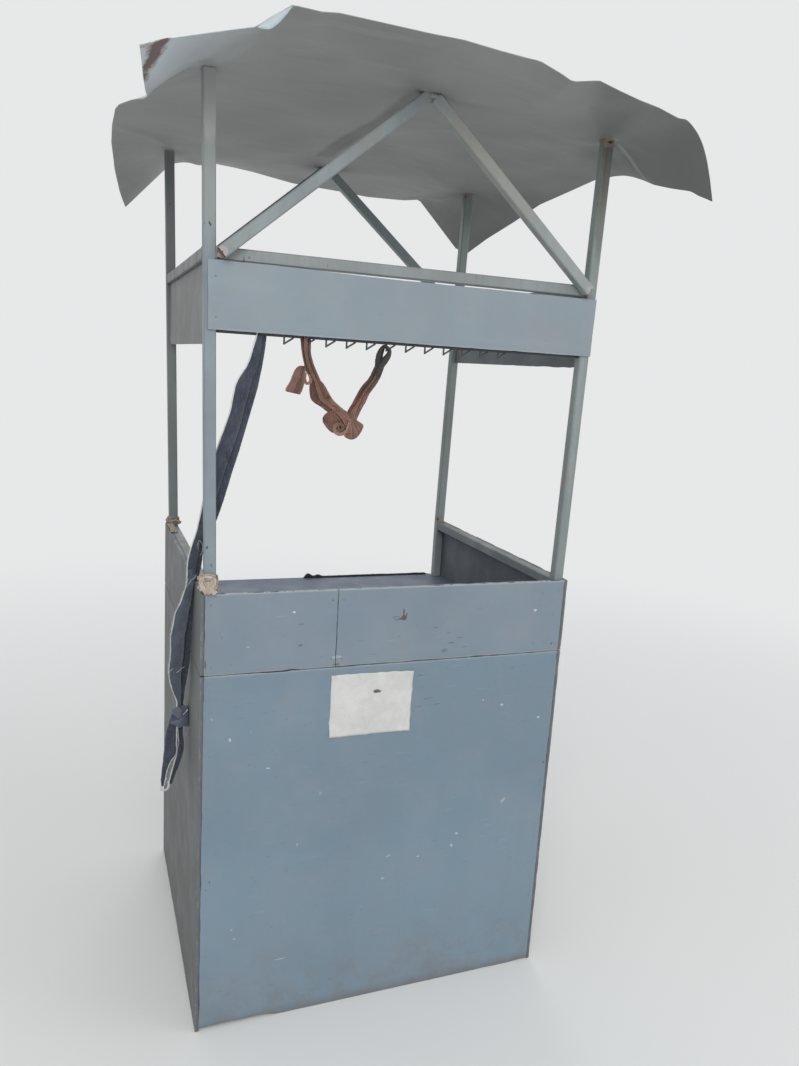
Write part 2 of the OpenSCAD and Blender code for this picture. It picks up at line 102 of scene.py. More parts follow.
# Numbers that look random but are the same in each run.
def lattice(ix, iy, iz, seed):
    n = (ix * 73856093) ^ (iy * 19349663) ^ (iz * 83492791) ^ (seed * 2654435761)
    n = (n ^ (n >> 13)) * 1274126177
    n = n ^ (n >> 16)
    return (n & 0xFFFFFF) / 0xFFFFFF * 2 - 1


def noise(points, per_m, seed=0):
    """Smooth noise from -1 to 1 at an array of points."""
    p = np.asarray(points, float) * per_m + 1000
    cell = np.floor(p).astype(np.int64)
    f = p - cell
    f = f * f * (3 - 2 * f)
    total = 0
    for corner in np.ndindex(2, 2, 2):
        w = np.prod(np.where(corner, f, 1 - f), axis=1)
        total = total + w * lattice(*(cell + corner).T, seed)
    return total


def layered(points, per_m, seed=0, layers=3):
    return sum(0.5 ** k * noise(points, per_m * 2 ** k, seed + 17 * k) for k in range(layers))


def smooth_step(v, low, high):
    t = np.clip((v - low) / (high - low), 0, 1)
    return t * t * (3 - 2 * t)


# Meshes.
def bare_mesh(name, points, faces, material):
    mesh = bpy.data.meshes.new(name)
    mesh.from_pydata([tuple(p) for p in points], [], [tuple(f) for f in faces])
    mesh.update()
    mesh.materials.append(material)
    obj = bpy.data.objects.new(name, mesh)
    scene.collection.objects.link(obj)
    return obj


def make(name, points, faces, material):
    """A smooth piece of the object, attached to the root body."""
    obj = bare_mesh(name, points, faces, material)
    obj.data.polygons.foreach_set("use_smooth", [True] * len(obj.data.polygons))
    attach(obj, "root")
    return obj


def grid_faces(rows, cols, first=0, flip=False, close=False):
    """Quads of a grid of points, row by row; close joins the last column to the first."""
    faces = []
    for j in range(rows - 1):
        for i in range(cols if close else cols - 1):
            a = first + j * cols + i
            b = first + j * cols + (i + 1) % cols
            faces.append((a, a + cols, b + cols, b) if flip else (a, b, b + cols, a + cols))
    return faces


def shell_faces(rows, cols, flip=False):
    """Faces of two grids of points, one behind the other, joined round their rims."""
    n = rows * cols
    faces = grid_faces(rows, cols, 0, flip) + grid_faces(rows, cols, n, not flip)
    number = np.arange(n).reshape(rows, cols)
    ring = [*number[0], *number[1:, -1], *number[-1, -2::-1], *number[-2:0:-1, 0]]
    for i, j in zip(ring, ring[1:] + ring[:1]):
        faces.append((i, j, j + n, i + n) if flip else (j, i, i + n, j + n))
    return faces


def tube_faces(rows, around, first=0, flip=False):
    """Faces of rings of points, with a cap at each end."""
    start = range(first, first + around)
    end = [i + (rows - 1) * around for i in start]
    caps = [start, end[::-1]] if flip else [start[::-1], end]
    return grid_faces(rows, around, first, flip, close=True) + caps


def add_attribute(obj, name, values):
    attribute = obj.data.attributes.new(name, "FLOAT", "POINT")
    attribute.data.foreach_set("value", np.asarray(values, np.float32))


def modifier(obj, kind, **settings):
    m = obj.modifiers.new(kind.lower(), kind)
    for key, value in settings.items():
        setattr(m, key, value)


def along(rows, count):
    """Smooth resampling of rows of numbers to a count of rows, by length of the way."""
    rows = np.asarray(rows, float)
    step = np.linalg.norm(np.diff(rows[:, :3], axis=0), axis=1)
    at = np.concatenate([[0], np.cumsum(step)])
    goal = np.linspace(0, at[-1], count)
    k = np.clip(np.searchsorted(at, goal, "right") - 1, 0, len(rows) - 2)
    f = ((goal - at[k]) / (at[k + 1] - at[k]))[:, None]
    before = rows[np.maximum(k - 1, 0)]
    after = rows[np.minimum(k + 2, len(rows) - 1)]
    a, b = rows[k], rows[k + 1]
    square = 2 * before - 5 * a + 4 * b - after
    return 0.5 * (2 * a + (b - before) * f + square * f ** 2 + (3 * a - before - 3 * b + after) * f ** 3)


def tubes(name, runs, material, around=8, step=0.0022, lump=0.22):
    """Lumpy tubes with pinched ends. Each run is a line of places and a radius."""
    points, faces = [], []
    for n, (line, radius) in enumerate(runs):
        line = np.array([tuple(q) for q in line])
        rows = max(5, int(np.linalg.norm(np.diff(line, axis=0), axis=1).sum() / step))
        way = along(line, rows)
        faces += tube_faces(rows, around, len(points))
        for j in range(rows):
            ahead = Vector(way[min(j + 1, rows - 1)] - way[max(j - 1, 0)]).normalized()
            side = ahead.cross(Vector((0.31, 0.90, 0.22))).normalized()
            other = ahead.cross(side)
            t = j / (rows - 1)
            swell = 1 + lump * (math.sin(j * 1.9 + n) + 0.7 * math.sin(j * 0.7 + 2 * n))
            pinched = radius * min(1, 0.35 + 4 * min(t, 1 - t)) * swell
            for i in range(around):
                angle = 2 * math.pi * i / around
                r = pinched * (1 + 0.5 * lump * math.sin(3 * angle + j + n))
                points.append(Vector(way[j]) + (side * math.cos(angle) + other * math.sin(angle)) * r)
    return make(name, points, faces, material)


# Materials.
class Nodes:
    """A node tree with short helpers."""

    def __init__(self, owner):
        owner.use_nodes = True
        self.tree = owner.node_tree
        self.tree.nodes.clear()

    def node(self, kind, feeds=(), **settings):
        n = self.tree.nodes.new(kind)
        for key, value in settings.items():
            setattr(n, key, value)
        for key, value in dict(feeds).items():
            self.feed(n.inputs[key], value)
        return n

    def feed(self, socket, value):
        if isinstance(value, bpy.types.NodeSocket):
            self.tree.links.new(value, socket)
        elif socket.type == "RGBA":
            socket.default_value = (*value, 1)
        else:
            socket.default_value = value

    def math(self, kind, a, b=0.0):
        return self.node("ShaderNodeMath", {0: a, 1: b}, operation=kind).outputs[0]

    def most(self, first, *more):
        for value in more:
            first = self.math("MAXIMUM", first, value)
        return first

    def times(self, first, *more):
        for value in more:
            first = self.math("MULTIPLY", first, value)
        return first

    def plus(self, a, b):
        return self.math("ADD", a, b)

    def apart(self, a, b):
        return self.math("ABSOLUTE", self.math("SUBTRACT", a, b))

    def seen(self):
        """1 where the camera looks, also by a reflection or through glass."""
        rays = self.node("ShaderNodeLightPath").outputs
        return self.most(rays["Is Camera Ray"], rays["Is Glossy Ray"], rays["Is Transmission Ray"])

    def blend(self, share, a, b):
        return self.node("ShaderNodeMixShader", {0: share, 1: a.outputs[0], 2: b.outputs[0]}).outputs[0]


class Paint(Nodes):
    """A material laid on coat by coat. Places are in metres in the object's frame."""

    def __init__(self, name):
        self.material = bpy.data.materials.new(name)
        super().__init__(self.material)
        self.place = self.node("ShaderNodeTexCoord").outputs["Object"]
        self.color = None
        self.normal = None

    def axes(self):
        return self.node("ShaderNodeSeparateXYZ", {0: self.place}).outputs

    def attribute(self, name):
        return self.node("ShaderNodeAttribute", attribute_name=name).outputs["Fac"]

    def noise(self, scale, detail=3, rough=0.55, stretch=(1, 1, 1), shift=(0, 0, 0)):
        place = self.place
        if stretch != (1, 1, 1) or shift != (0, 0, 0):
            feeds = {"Vector": place, "Scale": stretch, "Location": shift}
            place = self.node("ShaderNodeMapping", feeds).outputs[0]
        feeds = {"Vector": place, "Scale": scale, "Detail": detail, "Roughness": rough}
        return self.node("ShaderNodeTexNoise", feeds).outputs["Fac"]

    def cells(self, scale, place, feature="F1"):
        feeds = {"Vector": place, "Scale": scale}
        return self.node("ShaderNodeTexVoronoi", feeds, feature=feature).outputs["Distance"]

    def dots(self, scale, place, low, high):
        """1 in the middle of each cell and 0 outside it."""
        return self.span(self.cells(scale, place), low, high, 1, 0)

    def math3(self, kind, a, b=(0, 0, 0), output=0):
        return self.node("ShaderNodeVectorMath", {0: a, 1: b}, operation=kind).outputs[output]

    def span(self, value, low, high, to_low=0.0, to_high=1.0):
        """value from low..high brought to to_low..to_high, with soft ends."""
        feeds = {"Value": value, "From Min": low, "From Max": high, "To Min": to_low, "To Max": to_high}
        return self.node("ShaderNodeMapRange", feeds, interpolation_type="SMOOTHSTEP").outputs[0]

    def mix(self, share, a, b):
        return self.node("ShaderNodeMix", {0: share, 6: a, 7: b}, data_type="RGBA").outputs[2]

    def ground(self, a, b, value, low, high):
        """The first coat goes from a to b as value goes from low to high."""
        self.color = self.mix(self.span(value, low, high), a, b)

    def lay(self, tone, value, low=None, high=None, share=1.0):
        """A further coat, where value is high, or as strong as value where no range is given."""
        if low is not None:
            value = self.span(value, low, high, 0, share)
        self.color = self.mix(value, self.color, tone)

    def stirred(self, per_m, amount, scale=(1, 1, 1)):
        """Places pushed about by noise, so that cells and lines get ragged."""
        stir = self.node("ShaderNodeTexNoise", {"Vector": self.place, "Scale": per_m, "Detail": 3})
        middle = self.math3("SUBTRACT", stir.outputs["Color"], (0.5, 0.5, 0.5))
        push = self.math3("MULTIPLY", middle, (amount, amount, amount))
        return self.math3("MULTIPLY", self.math3("ADD", self.place, push), scale)

    def spot(self, place, centre, size):
        """1 in the middle of a ragged spot and 0 outside it; size is its half width along each axis."""
        away = self.math3("MULTIPLY", self.math3("SUBTRACT", place, centre), tuple(1 / v for v in size))
        return self.span(self.math3("LENGTH", away, output=1), 0.75, 1.1, 1, 0)

    def line(self, place, a, b, half):
        """1 on the line from a to b, seen from above, and 0 outside it."""
        a, b = Vector((*a, 0)), Vector((*b, 0))
        length = (b - a).length
        way = tuple((b - a).normalized())
        away = self.math3("SUBTRACT", place, tuple(a))
        run = self.math3("DOT_PRODUCT", away, way, output=1)
        off = self.math3("LENGTH", self.math3("CROSS_PRODUCT", away, way), output=1)
        ends = self.times(self.span(run, 0, half), self.span(run, length - half, length, 1, 0))
        return self.times(self.span(off, 0.4 * half, half, 1, 0), ends)

    def bump(self, height, strength, depth):
        feeds = {"Strength": strength, "Distance": depth, "Height": height}
        if self.normal:
            feeds["Normal"] = self.normal
        self.normal = self.node("ShaderNodeBump", feeds).outputs[0]

    def finish(self, rough, metal=0.0, sheen=0.0):
        feeds = {"Base Color": self.color, "Roughness": rough, "Metallic": metal, "Sheen Weight": sheen}
        if self.normal:
            feeds["Normal"] = self.normal
        self.shader = self.node("ShaderNodeBsdfPrincipled", feeds)
        self.out = self.node("ShaderNodeOutputMaterial", {0: self.shader.outputs[0]})
        return self.material


def shade(color, *by):
    """A colour made darker or lighter, by one number or by one for each of its three parts."""
    return tuple(c * v for c, v in zip(color, by * 3))


def two_tone(name, a, b, grain, low, high, bump, rough, metal=0.0):
    """A plain look of two tones that meet in one grain, which is also its relief."""
    p = Paint(name)
    mottle = p.noise(*grain)
    p.ground(a, b, mottle, low, high)
    p.bump(mottle, *bump)
    return p.finish(rough, metal)


RUST = (0.115, 0.058, 0.036)
RUST_PALE = (0.25, 0.205, 0.165)
WOOD = (0.225, 0.212, 0.188)
DIRT = (0.20, 0.185, 0.165)


def board_paint(name, base, dirt=0.5, chips=1.0, inside=(0.085, 0.097, 0.112), marks=(), rims=(), cracks=1.0,
                painted_light_fall=0.0):
    """Thin, brushed paint on plywood: cloudy, dusty at the foot, chipped at the edges, with painted light
    that changes with height and painted shade on the inner face.
    """
    p = Paint(name)
    z = p.axes()[2]
    # painted light: lighter toward the foot and darker toward the top by the fall number, the other way
    # where it is negative
    cloudy = p.plus(p.noise(2.3, 5, 0.6), p.span(z, 0.1, 0.95, painted_light_fall, -painted_light_fall))
    p.ground(shade(base, 0.93), shade(base, 1.07), cloudy, 0.32, 0.68)
    blotch = p.noise(9, 5, 0.64)
    p.lay(shade(base, 1.20, 1.03, 0.94), blotch, 0.46, 0.72, 0.40)
    p.lay(shade(base, 0.86, 0.98, 1.05), blotch, 0.54, 0.28, 0.30)
    p.lay(shade(base, 0.86), p.noise(14, 4, 0.6, (1.2, 1.2, 0.14)), 0.4, 0.75, 0.16)
    p.lay(shade(base, 1.22), p.noise(11, 5, 0.66, (0.25, 0.25, 1.6), (3, 1, 2)), 0.56, 0.74, 0.22)
    # ragged pale flecks, and short cracks and scratches that run level
    ragged = p.stirred(38, 0.030)
    where = p.span(p.noise(4.6), 0.52, 0.60)
    p.lay((0.44, 0.48, 0.50), p.times(p.dots(15, ragged, 0.04, 0.085), where, 0.7))
    level = p.stirred(21, 0.012, (1, 1, 8))
    for seed, per_m, tone, share in (
        (3, 9, 0.55, 0.7), (8, 7, 1.4, 0.6), (14, 14, 0.6, 0.7), (21, 19, 0.66, 0.6),
    ):
        line = p.dots(per_m, p.math3("ADD", level, (seed, seed, seed)), 0.05, 0.135)
        where = p.span(p.noise(5.3, 3, 0.5, shift=(seed, 5, 2)), 0.44, 0.56)
        p.lay(shade(base, tone), p.times(line, where, share * cracks))
    where = p.span(p.noise(6.1, 3, 0.5, shift=(2, 4, 1)), 0.50, 0.58)
    p.lay((0.11, 0.10, 0.095), p.times(p.dots(34, ragged, 0.06, 0.13), where, 0.6 * cracks))
    frayed = p.stirred(140, 0.008)
    for centre, size, tone in marks:
        p.lay(tone, p.spot(frayed, centre, size))
    # dust and splashes at the foot
    splash = p.span(p.noise(13, 5, 0.68), 0.38, 0.70)
    p.lay(DIRT, p.times(p.span(z, 0.0, 0.30, 1, 0), splash, dirt))
    p.lay(shade(DIRT, 0.8), p.times(p.span(z, 0.0, 0.035, 1, 0), dirt))
    # edges worn to pale primer and bare plies
    edge = p.attribute("edge")
    worn = p.span(p.plus(edge, p.noise(55, 4, 0.7)), 1.26, 1.44)
    p.lay(shade(base, 1.35), p.times(worn, 0.50 * chips))
    p.lay(WOOD, p.times(p.span(p.plus(edge, p.noise(31, 5, 0.75)), 1.52, 1.58), chips))
    # rims: a height with a worn line at it, and dark chips in that line
    broken = p.noise(23, 5, 0.75, (1, 1, 0.3))
    for height, side, tone, share, dark in rims:
        down = p.times(p.math("SUBTRACT", height, z), side)
        gaps = p.span(broken, 0.30, 0.55, 0.55 * share, share)
        p.lay(tone, p.times(p.span(down, 0.0026, 0.0044, 1, 0), gaps))
        chip = p.times(p.span(down, 0.0008, 0.0020, 1, 0), p.span(broken, 0.52, 0.58, 0, dark))
        p.lay((0.045, 0.045, 0.047), chip)
    # painted shade: the inner face, in the shade inside the box, is painted darker
    thin = p.mix(p.span(p.noise(8, 5, 0.65), 0.35, 0.7), inside, shade(inside, 1.35))
    p.lay(thin, p.attribute("inside"))
    p.bump(p.noise(120, 3, 0.55, (1, 1, 0.06)), 0.22, 0.0006)
    p.bump(p.noise(210, 3, 0.6), 0.16, 0.0005)
    p.bump(p.math("SUBTRACT", 1, worn), 0.35, 0.0006)
    return p.finish(p.span(blotch, 0.3, 0.7, 0.52, 0.70))


def tube_paint(name, base, brown=0.0, seed=0.0, rust=0.24, marks=()):
    """Brushed oil paint on welded tube: chips, thin patches and rust round the welds."""
    p = Paint(name)
    x, y, z = p.axes()
    p.ground(shade(base, 0.88), shade(base, 1.10), p.noise(4.5, 4, 0.6, shift=(seed, 0, 0)), 0.3, 0.7)
    strokes = p.noise(60, 4, 0.6, (1, 1, 0.12), (seed, 1, 0))
    p.lay(shade(base, 0.78), strokes, 0.45, 0.7, 0.30)
    thin = p.noise(13, 5, 0.7, (1, 1, 0.35), (0, seed, 2))
    p.lay((0.25, 0.225, 0.185), thin, 0.60 - 0.12 * brown, 0.72, 0.35 + 0.4 * brown)
    fleck = p.dots(70, p.stirred(90, 0.010, (1, 1, 0.5)), 0.08, 0.20)
    p.lay((0.075, 0.062, 0.055), p.times(fleck, p.span(p.noise(9), 0.58, 0.64), 0.75))
    # how near the closest post is, and the heights where others meet it
    post = p.plus(p.times(p.most(p.math("SUBTRACT", z, LEAN_FROM), 0.0), LEAN), POST_X)
    off_x = p.apart(p.math("ABSOLUTE", x), post)
    off_y = p.apart(p.math("ABSOLUTE", y), POST_Y)
    at_post = p.span(p.most(off_x, off_y), 0.020, 0.048, 1, 0)
    at_rail = p.span(p.apart(z, RAIL_Z), 0.012, 0.040, 1, 0)
    at_top = p.span(z, POST_TOP - 0.035, POST_TOP - 0.004)
    at_band = p.span(p.apart(z, LEAN_FROM), 0.008, 0.045, 1, 0)
    rusty = p.times(p.most(at_rail, at_top, at_band), at_post, rust)
    eaten = p.plus(rusty, p.noise(48, 5, 0.7, shift=(seed, 2, seed)))
    p.lay(RUST_PALE, eaten, 0.74, 0.84, 0.75)
    p.lay(RUST, eaten, 0.84, 0.92)
    ragged = p.stirred(110, 0.012)
    for centre, size, tone, share in marks:
        p.lay(tone, p.times(p.spot(ragged, centre, size), share))
    p.bump(strokes, 0.2, 0.0006)
    p.bump(p.noise(260, 3, 0.6), 0.15, 0.0004)
    p.bump(p.span(eaten, 0.72, 0.9, 1, 0), 0.5, 0.0008)
    return p.finish(p.span(thin, 0.35, 0.7, 0.42, 0.68))


MM = 0.001
SPOT_DEEP = 0.02
BROWN_MARK = (0.115, 0.085, 0.070)
PALE_MARK = (0.52, 0.55, 0.57)
SOFT_MARK = (0.36, 0.40, 0.42)
SCRATCH = (0.110, 0.140, 0.165)
SPECK = (0.04, 0.036, 0.034)
WELD_PINK = (0.42, 0.37, 0.33)
WORN_LIGHT = (0.37, 0.41, 0.43)
SEAM_BEIGE = (0.33, 0.32, 0.285)


def front_marks(*groups):
    """Groups of a tone and its spots on the front: pixel of the picture and half sizes in millimetres."""
    return [
        (tuple(seen_at(px, py, FRONT_Y)), (wide * MM, SPOT_DEEP, high * MM), tone)
        for tone, spots in groups for px, py, wide, high in spots
    ]


def tube_marks(y, *rows):
    """Spots on tubes whose face is at y: x, z, half sizes in millimetres, tone and strength."""
    return [((x, y, z), (a * MM, b * MM, c * MM), tone, share) for x, z, a, b, c, tone, share in rows]


board_spots = front_marks(
    (PALE_MARK, (
        (229.6, 740, 3, 5), (268, 768, 5, 2), (456, 833, 4.5, 3), (451, 845, 3, 5), (418, 856, 3, 2.2),
        (483, 700, 3, 2.2), (538, 717, 6, 2.2), (297, 844, 1.2, 5), (280, 958.6, 16, 1),
    )),
    (BROWN_MARK, ((203.5, 672, 6, 15), (209, 882, 1.2, 5), (543, 762, 3, 3), (335.5, 667.5, 8, 1.6))),
    (SOFT_MARK, ((320, 661, 20, 4),)),
    (SCRATCH, ((421, 675, 11, 0.9), (428, 698, 15, 0.9), (437, 703.5, 12, 0.9), (419, 706.5, 7, 0.9))),
    (PALE_MARK, ((501.6, 704.5, 3, 3),)),
)
band_spots = front_marks(
    (BROWN_MARK, (
        (404, 612.3, 2.4, 10), (404.4, 617.2, 6.6, 6.2), (402.8, 618.8, 10.5, 2.6), (407, 614.6, 2, 4),
        (396, 617, 11, 1), (397, 620, 9, 0.9),
    )),
    ((0.190, 0.185, 0.180), ((444, 650.5, 8.5, 5),)),
    ((0.62, 0.64, 0.65), ((294, 612, 3.6, 3.8),)),
    (SOFT_MARK, ((248, 647, 4.5, 1.8),)),
    ((0.30, 0.26, 0.22), ((404, 660.5, 8, 2.4),)),
    (BROWN_MARK, ((336, 664.5, 7.5, 2.8), (551, 643.5, 3, 2.5))),
    (SOFT_MARK, ((337, 657, 13, 3.2),)),
    ((0.12, 0.16, 0.21), ((300.5, 645.5, 6, 3),)),
    ((0.12, 0.15, 0.17), ((301, 624.5, 8, 1.2),)),
    (PALE_MARK, ((535, 610.5, 3.8, 3),)),
    (BROWN_MARK, ((553, 614, 1.6, 1.4),)),
    (SCRATCH, (
        (436, 627.5, 8, 1.1), (449, 633, 7.5, 0.8), (460, 637.5, 12, 0.8), (451, 643, 11, 0.8),
        (465, 646.5, 7, 0.8),
    )),
    (BROWN_MARK, ((205, 665, 2.2, 11),)),
)
band_low, band_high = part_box("front_band_left")
board_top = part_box("front_board")[1][2]
header_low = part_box("front_header")[0][2]
front_paint = board_paint("front_paint", (0.196, 0.268, 0.330), dirt=0.50, marks=board_spots, painted_light_fall=0.15,
                          cracks=0.45, rims=((board_top, 1, WORN_LIGHT, 0.35, 0.5),))
side_paint = board_paint("side_paint", (0.127, 0.136, 0.136), dirt=0.25, painted_light_fall=-0.12, cracks=0.6)
band_rims = ((band_high[2], 1, WORN_LIGHT, 0.8, 0.9), (band_low[2], -1, SEAM_BEIGE, 0.95, 0.3))
band_paint = board_paint("band_paint", (0.210, 0.266, 0.318), dirt=0.0, marks=band_spots, cracks=0.6,
                         rims=band_rims)
header_paint = board_paint("header_paint", (0.255, 0.303, 0.338), dirt=0.0, chips=0.4, cracks=0.2,
                           inside=(0.16, 0.19, 0.21), rims=((header_low, -1, (0.36, 0.41, 0.44), 0.5, 0.3),))
inner_paint = board_paint("inner_paint", (0.196, 0.205, 0.202), dirt=0.0, chips=0.4,
                          inside=(0.13, 0.145, 0.155))
counter_paint = board_paint("counter_paint", (0.102, 0.133, 0.190), dirt=0.0, chips=0.6)

pale_tube = tube_paint("pale_tube", (0.226, 0.274, 0.304), rust=0.13, marks=tube_marks(
    POST_FACE,
    (-0.450, 2.02, 20, 20, 220, (0.288, 0.294, 0.290), 0.75),
    # painted light: the top of the post is painted lighter against the shadow of the roof
    (-0.452, 2.10, 20, 20, 110, (0.420, 0.415, 0.400), 0.70),
    (-0.4480, 1.850, 2.2, 4, 4.5, SPECK, 0.9),
    (-0.4451, 1.1916, 3, 4, 3.5, SPECK, 0.9),
))
BAR_FOOT_X = 0.4285
bar_feet = tube_marks(
    BAR_FACE,
    (-BAR_FOOT_X, 1.7965, 12.5, 6, 13, WELD_PINK, 0.85), (-BAR_FOOT_X, 1.7965, 2.2, 6, 3, RUST, 0.85),
    (BAR_FOOT_X, 1.7965, 12.5, 6, 13, WELD_PINK, 0.85), (BAR_FOOT_X, 1.7965, 2.2, 6, 3, RUST, 0.85),
)
bar_tube = tube_paint("bar_tube", (0.245, 0.278, 0.285), 0.15, 6.0, marks=bar_feet)
brown_patch = tube_marks(BAR_FACE, (0.15, 2.02, 160, 10, 140, (0.27, 0.255, 0.22), 0.55))
right_bar_tube = tube_paint("right_bar_tube", (0.290, 0.318, 0.315), 0.45, 11.0,
                            marks=bar_feet + brown_patch)
rail_end = post_x(RAIL_Z) - POST_HALF
rail_tube = tube_paint("rail_tube", (0.252, 0.276, 0.278), 0.45, 4.0, marks=tube_marks(POST_FACE, *(
    (side * (rail_end - inward), z, wide, 4, high, tone, share)
    for side in (-1, 1)
    for inward, z, wide, high, tone, share in (
        (0.008, 1.7935, 12, 11.5, WELD_PINK, 0.85),
        (0.004, 1.8000, 3, 2.6, RUST, 0.85),
        (0.011, 1.7925, 2.6, 3.4, (0.30, 0.12, 0.09), 0.85),
        # painted shade: a near-black line along the rail's lower edge beside each post
        (0.009, 1.7862, 10, 1.6, (0.03, 0.026, 0.024), 0.9),
    )
)))
brown_tube = tube_paint("brown_tube", (0.225, 0.258, 0.258), 0.7, 9.0, 0.30)
streaked_tube = tube_paint("streaked_tube", (0.232, 0.268, 0.270), 0.6, 13.0, 0.20, marks=tube_marks(
    POST_FACE,
    (0.4520, 2.06, 20, 6, 200, (0.130, 0.128, 0.108), 0.75),
    (0.4490, 2.08, 5, 6, 120, (0.13, 0.110, 0.085), 0.50),
    (0.4495, 2.127, 16, 20, 10, (0.30, 0.24, 0.19), 0.9),
    (0.4560, 2.131, 6, 6, 4, (0.02, 0.018, 0.016), 1.0),
    (0.4400, 1.50, 6, 4, 250, (0.28, 0.33, 0.345), 0.5),
))
dark_tube = tube_paint("dark_tube", (0.165, 0.180, 0.185), 0.5, 2.0)
wire_look = two_tone("wire_look", (0.060, 0.072, 0.082), (0.085, 0.062, 0.050), (60, 4, 0.65), 0.45, 0.65,
                     (0.3, 0.0004), 0.5, metal=0.4)


# Boards. The lines of points nearer to an edge than RIM_OUTER are bitten.
RIM_OUTER = 0.0075
RIM_INNER = 0.008
BOARD_CELL = 0.011


def worn_board(node, material, outward, seed, bites=0.0006, foot=0.0, wave=0.0006, rim=0.0007,
               lean=0.0, lift=0.0):
    """The same box as a plain board of the frame, with bitten edges, a rounded rim and a slight wave.

    lean draws the ends in towards its foot, as the posts do; lift raises its top at the left."""
    low, high = (np.array(v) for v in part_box(node))
    size = high - low
    thick = int(np.argmin(size))
    a, b = [k for k in range(3) if k != thick]

    def lines(k):
        """Three lines close to each edge, and cells of about 11 mm between them."""
        inset = np.array([0, 0.0012, 0.003])
        middle = np.linspace(low[k] + RIM_INNER, high[k] - RIM_INNER, max(4, int(size[k] / BOARD_CELL)))
        return np.concatenate([low[k] + inset, middle, high[k] - inset[::-1]])

    lines_a, lines_b = lines(a), lines(b)
    rows, cols = len(lines_b), len(lines_a)
    face, back = (low, high) if outward < 0 else (high, low)
    flat = np.zeros((rows * cols, 3))
    flat[:, a] = np.tile(lines_a, rows)
    flat[:, b] = np.repeat(lines_b, cols)
    flat[:, thick] = face[thick]
    to_edge = np.minimum(flat - low, high - flat)[:, [a, b]].min(axis=1)
    near = np.exp(-to_edge / 0.006)
    # bites pull the rim inwards; the foot of a board is eaten more
    bite = bites * (0.35 + np.maximum(0, layered(flat, 35, seed)) * 1.6)
    deep = np.maximum(0, layered(flat, 14, seed + 5) - 0.32) * bites * 6
    pull = (bite + deep) * np.exp(-to_edge / 0.004)
    moved = flat.copy()
    for k in (a, b):
        at_low = flat[:, k] - low[k] < RIM_OUTER
        at_high = high[k] - flat[:, k] < RIM_OUTER
        moved[:, k] += pull * at_low - pull * at_high
    ragged = np.maximum(0, layered(flat, 6, seed + 9, 4) + 0.1) * foot
    moved[:, 2] += ragged * np.exp(-(flat[:, 2] - low[2]) / 0.010)
    across = (moved[:, 0] - (low[0] + high[0]) / 2) / (size[0] / 2)
    moved[:, 0] -= lean * (high[2] - moved[:, 2]) * across
    moved[:, 2] += lift * smooth_step(-across, 0.1, 0.75) * smooth_step(moved[:, 2], high[2] - 0.04, high[2])
    outer = moved.copy()
    rounded = rim * np.exp(-to_edge / 0.0016)
    outer[:, thick] += outward * (wave * (0.5 + 0.5 * layered(flat, 4, seed + 3, 2)) * (1 - near) - rounded)
    inner = moved
    inner[:, thick] = back[thick]
    faces = shell_faces(rows, cols)
    # that winding suits a face that looks along the cross of the two axes
    cross = 1 if (a, b) in ((0, 1), (1, 2)) else -1
    if cross * outward < 0:
        faces = [f[::-1] for f in faces]
    obj = make(node + "_worn", np.concatenate([outer, inner]), faces, material)
    add_attribute(obj, "edge", np.tile(near, 2))
    add_attribute(obj, "inside", np.repeat([0, 1], rows * cols))
    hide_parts(node)
    modifier(obj, "EDGE_SPLIT", split_angle=math.radians(50))


EATEN_FOOT = 0.010
worn_board("front_board", front_paint, -1, 2, foot=EATEN_FOOT, wave=0.0012)
worn_board("front_band_left", band_paint, -1, 3)
worn_board("front_band_right", band_paint, -1, 4)
for seed, (node, outward, foot) in enumerate((
    ("left_board", -1, EATEN_FOOT), ("left_upper_board", -1, 0), ("right_board", 1, EATEN_FOOT),
    ("right_upper_board", 1, 0), ("rear_board", 1, EATEN_FOOT),
), 5):
    worn_board(node, side_paint, outward, seed, foot=foot, bites=0.0009)
worn_board("front_header", header_paint, -1, 10, wave=0.0014, rim=0.0004, lean=LEAN,
           lift=0.0036, bites=0.0003)
worn_board("left_header", inner_paint, -1, 11, rim=0.0004)
worn_board("right_header", inner_paint, 1, 12, rim=0.0004)

# The tubes, the counter and the wire hooks keep their solids.
for look, names in (
    (pale_tube, "post_front_left"),
    (streaked_tube, "post_front_right"),
    (brown_tube, "post_rear_right"),
    (rail_tube, "front_rail rear_rail"),
    (bar_tube, "front_gable_left rear_gable_left rear_gable_right"),
    (right_bar_tube, "front_gable_right"),
    (dark_tube, "post_rear_left left_rail right_rail counter_frame bottom_frame"),
    (dark_tube, "left_board_rail right_board_rail"),
    (counter_paint, "counter_top"),
    (wire_look, "hook_rail"),
):
    for name in names.split():
        nodes[name].data.materials.clear()
        nodes[name].data.materials.append(look)


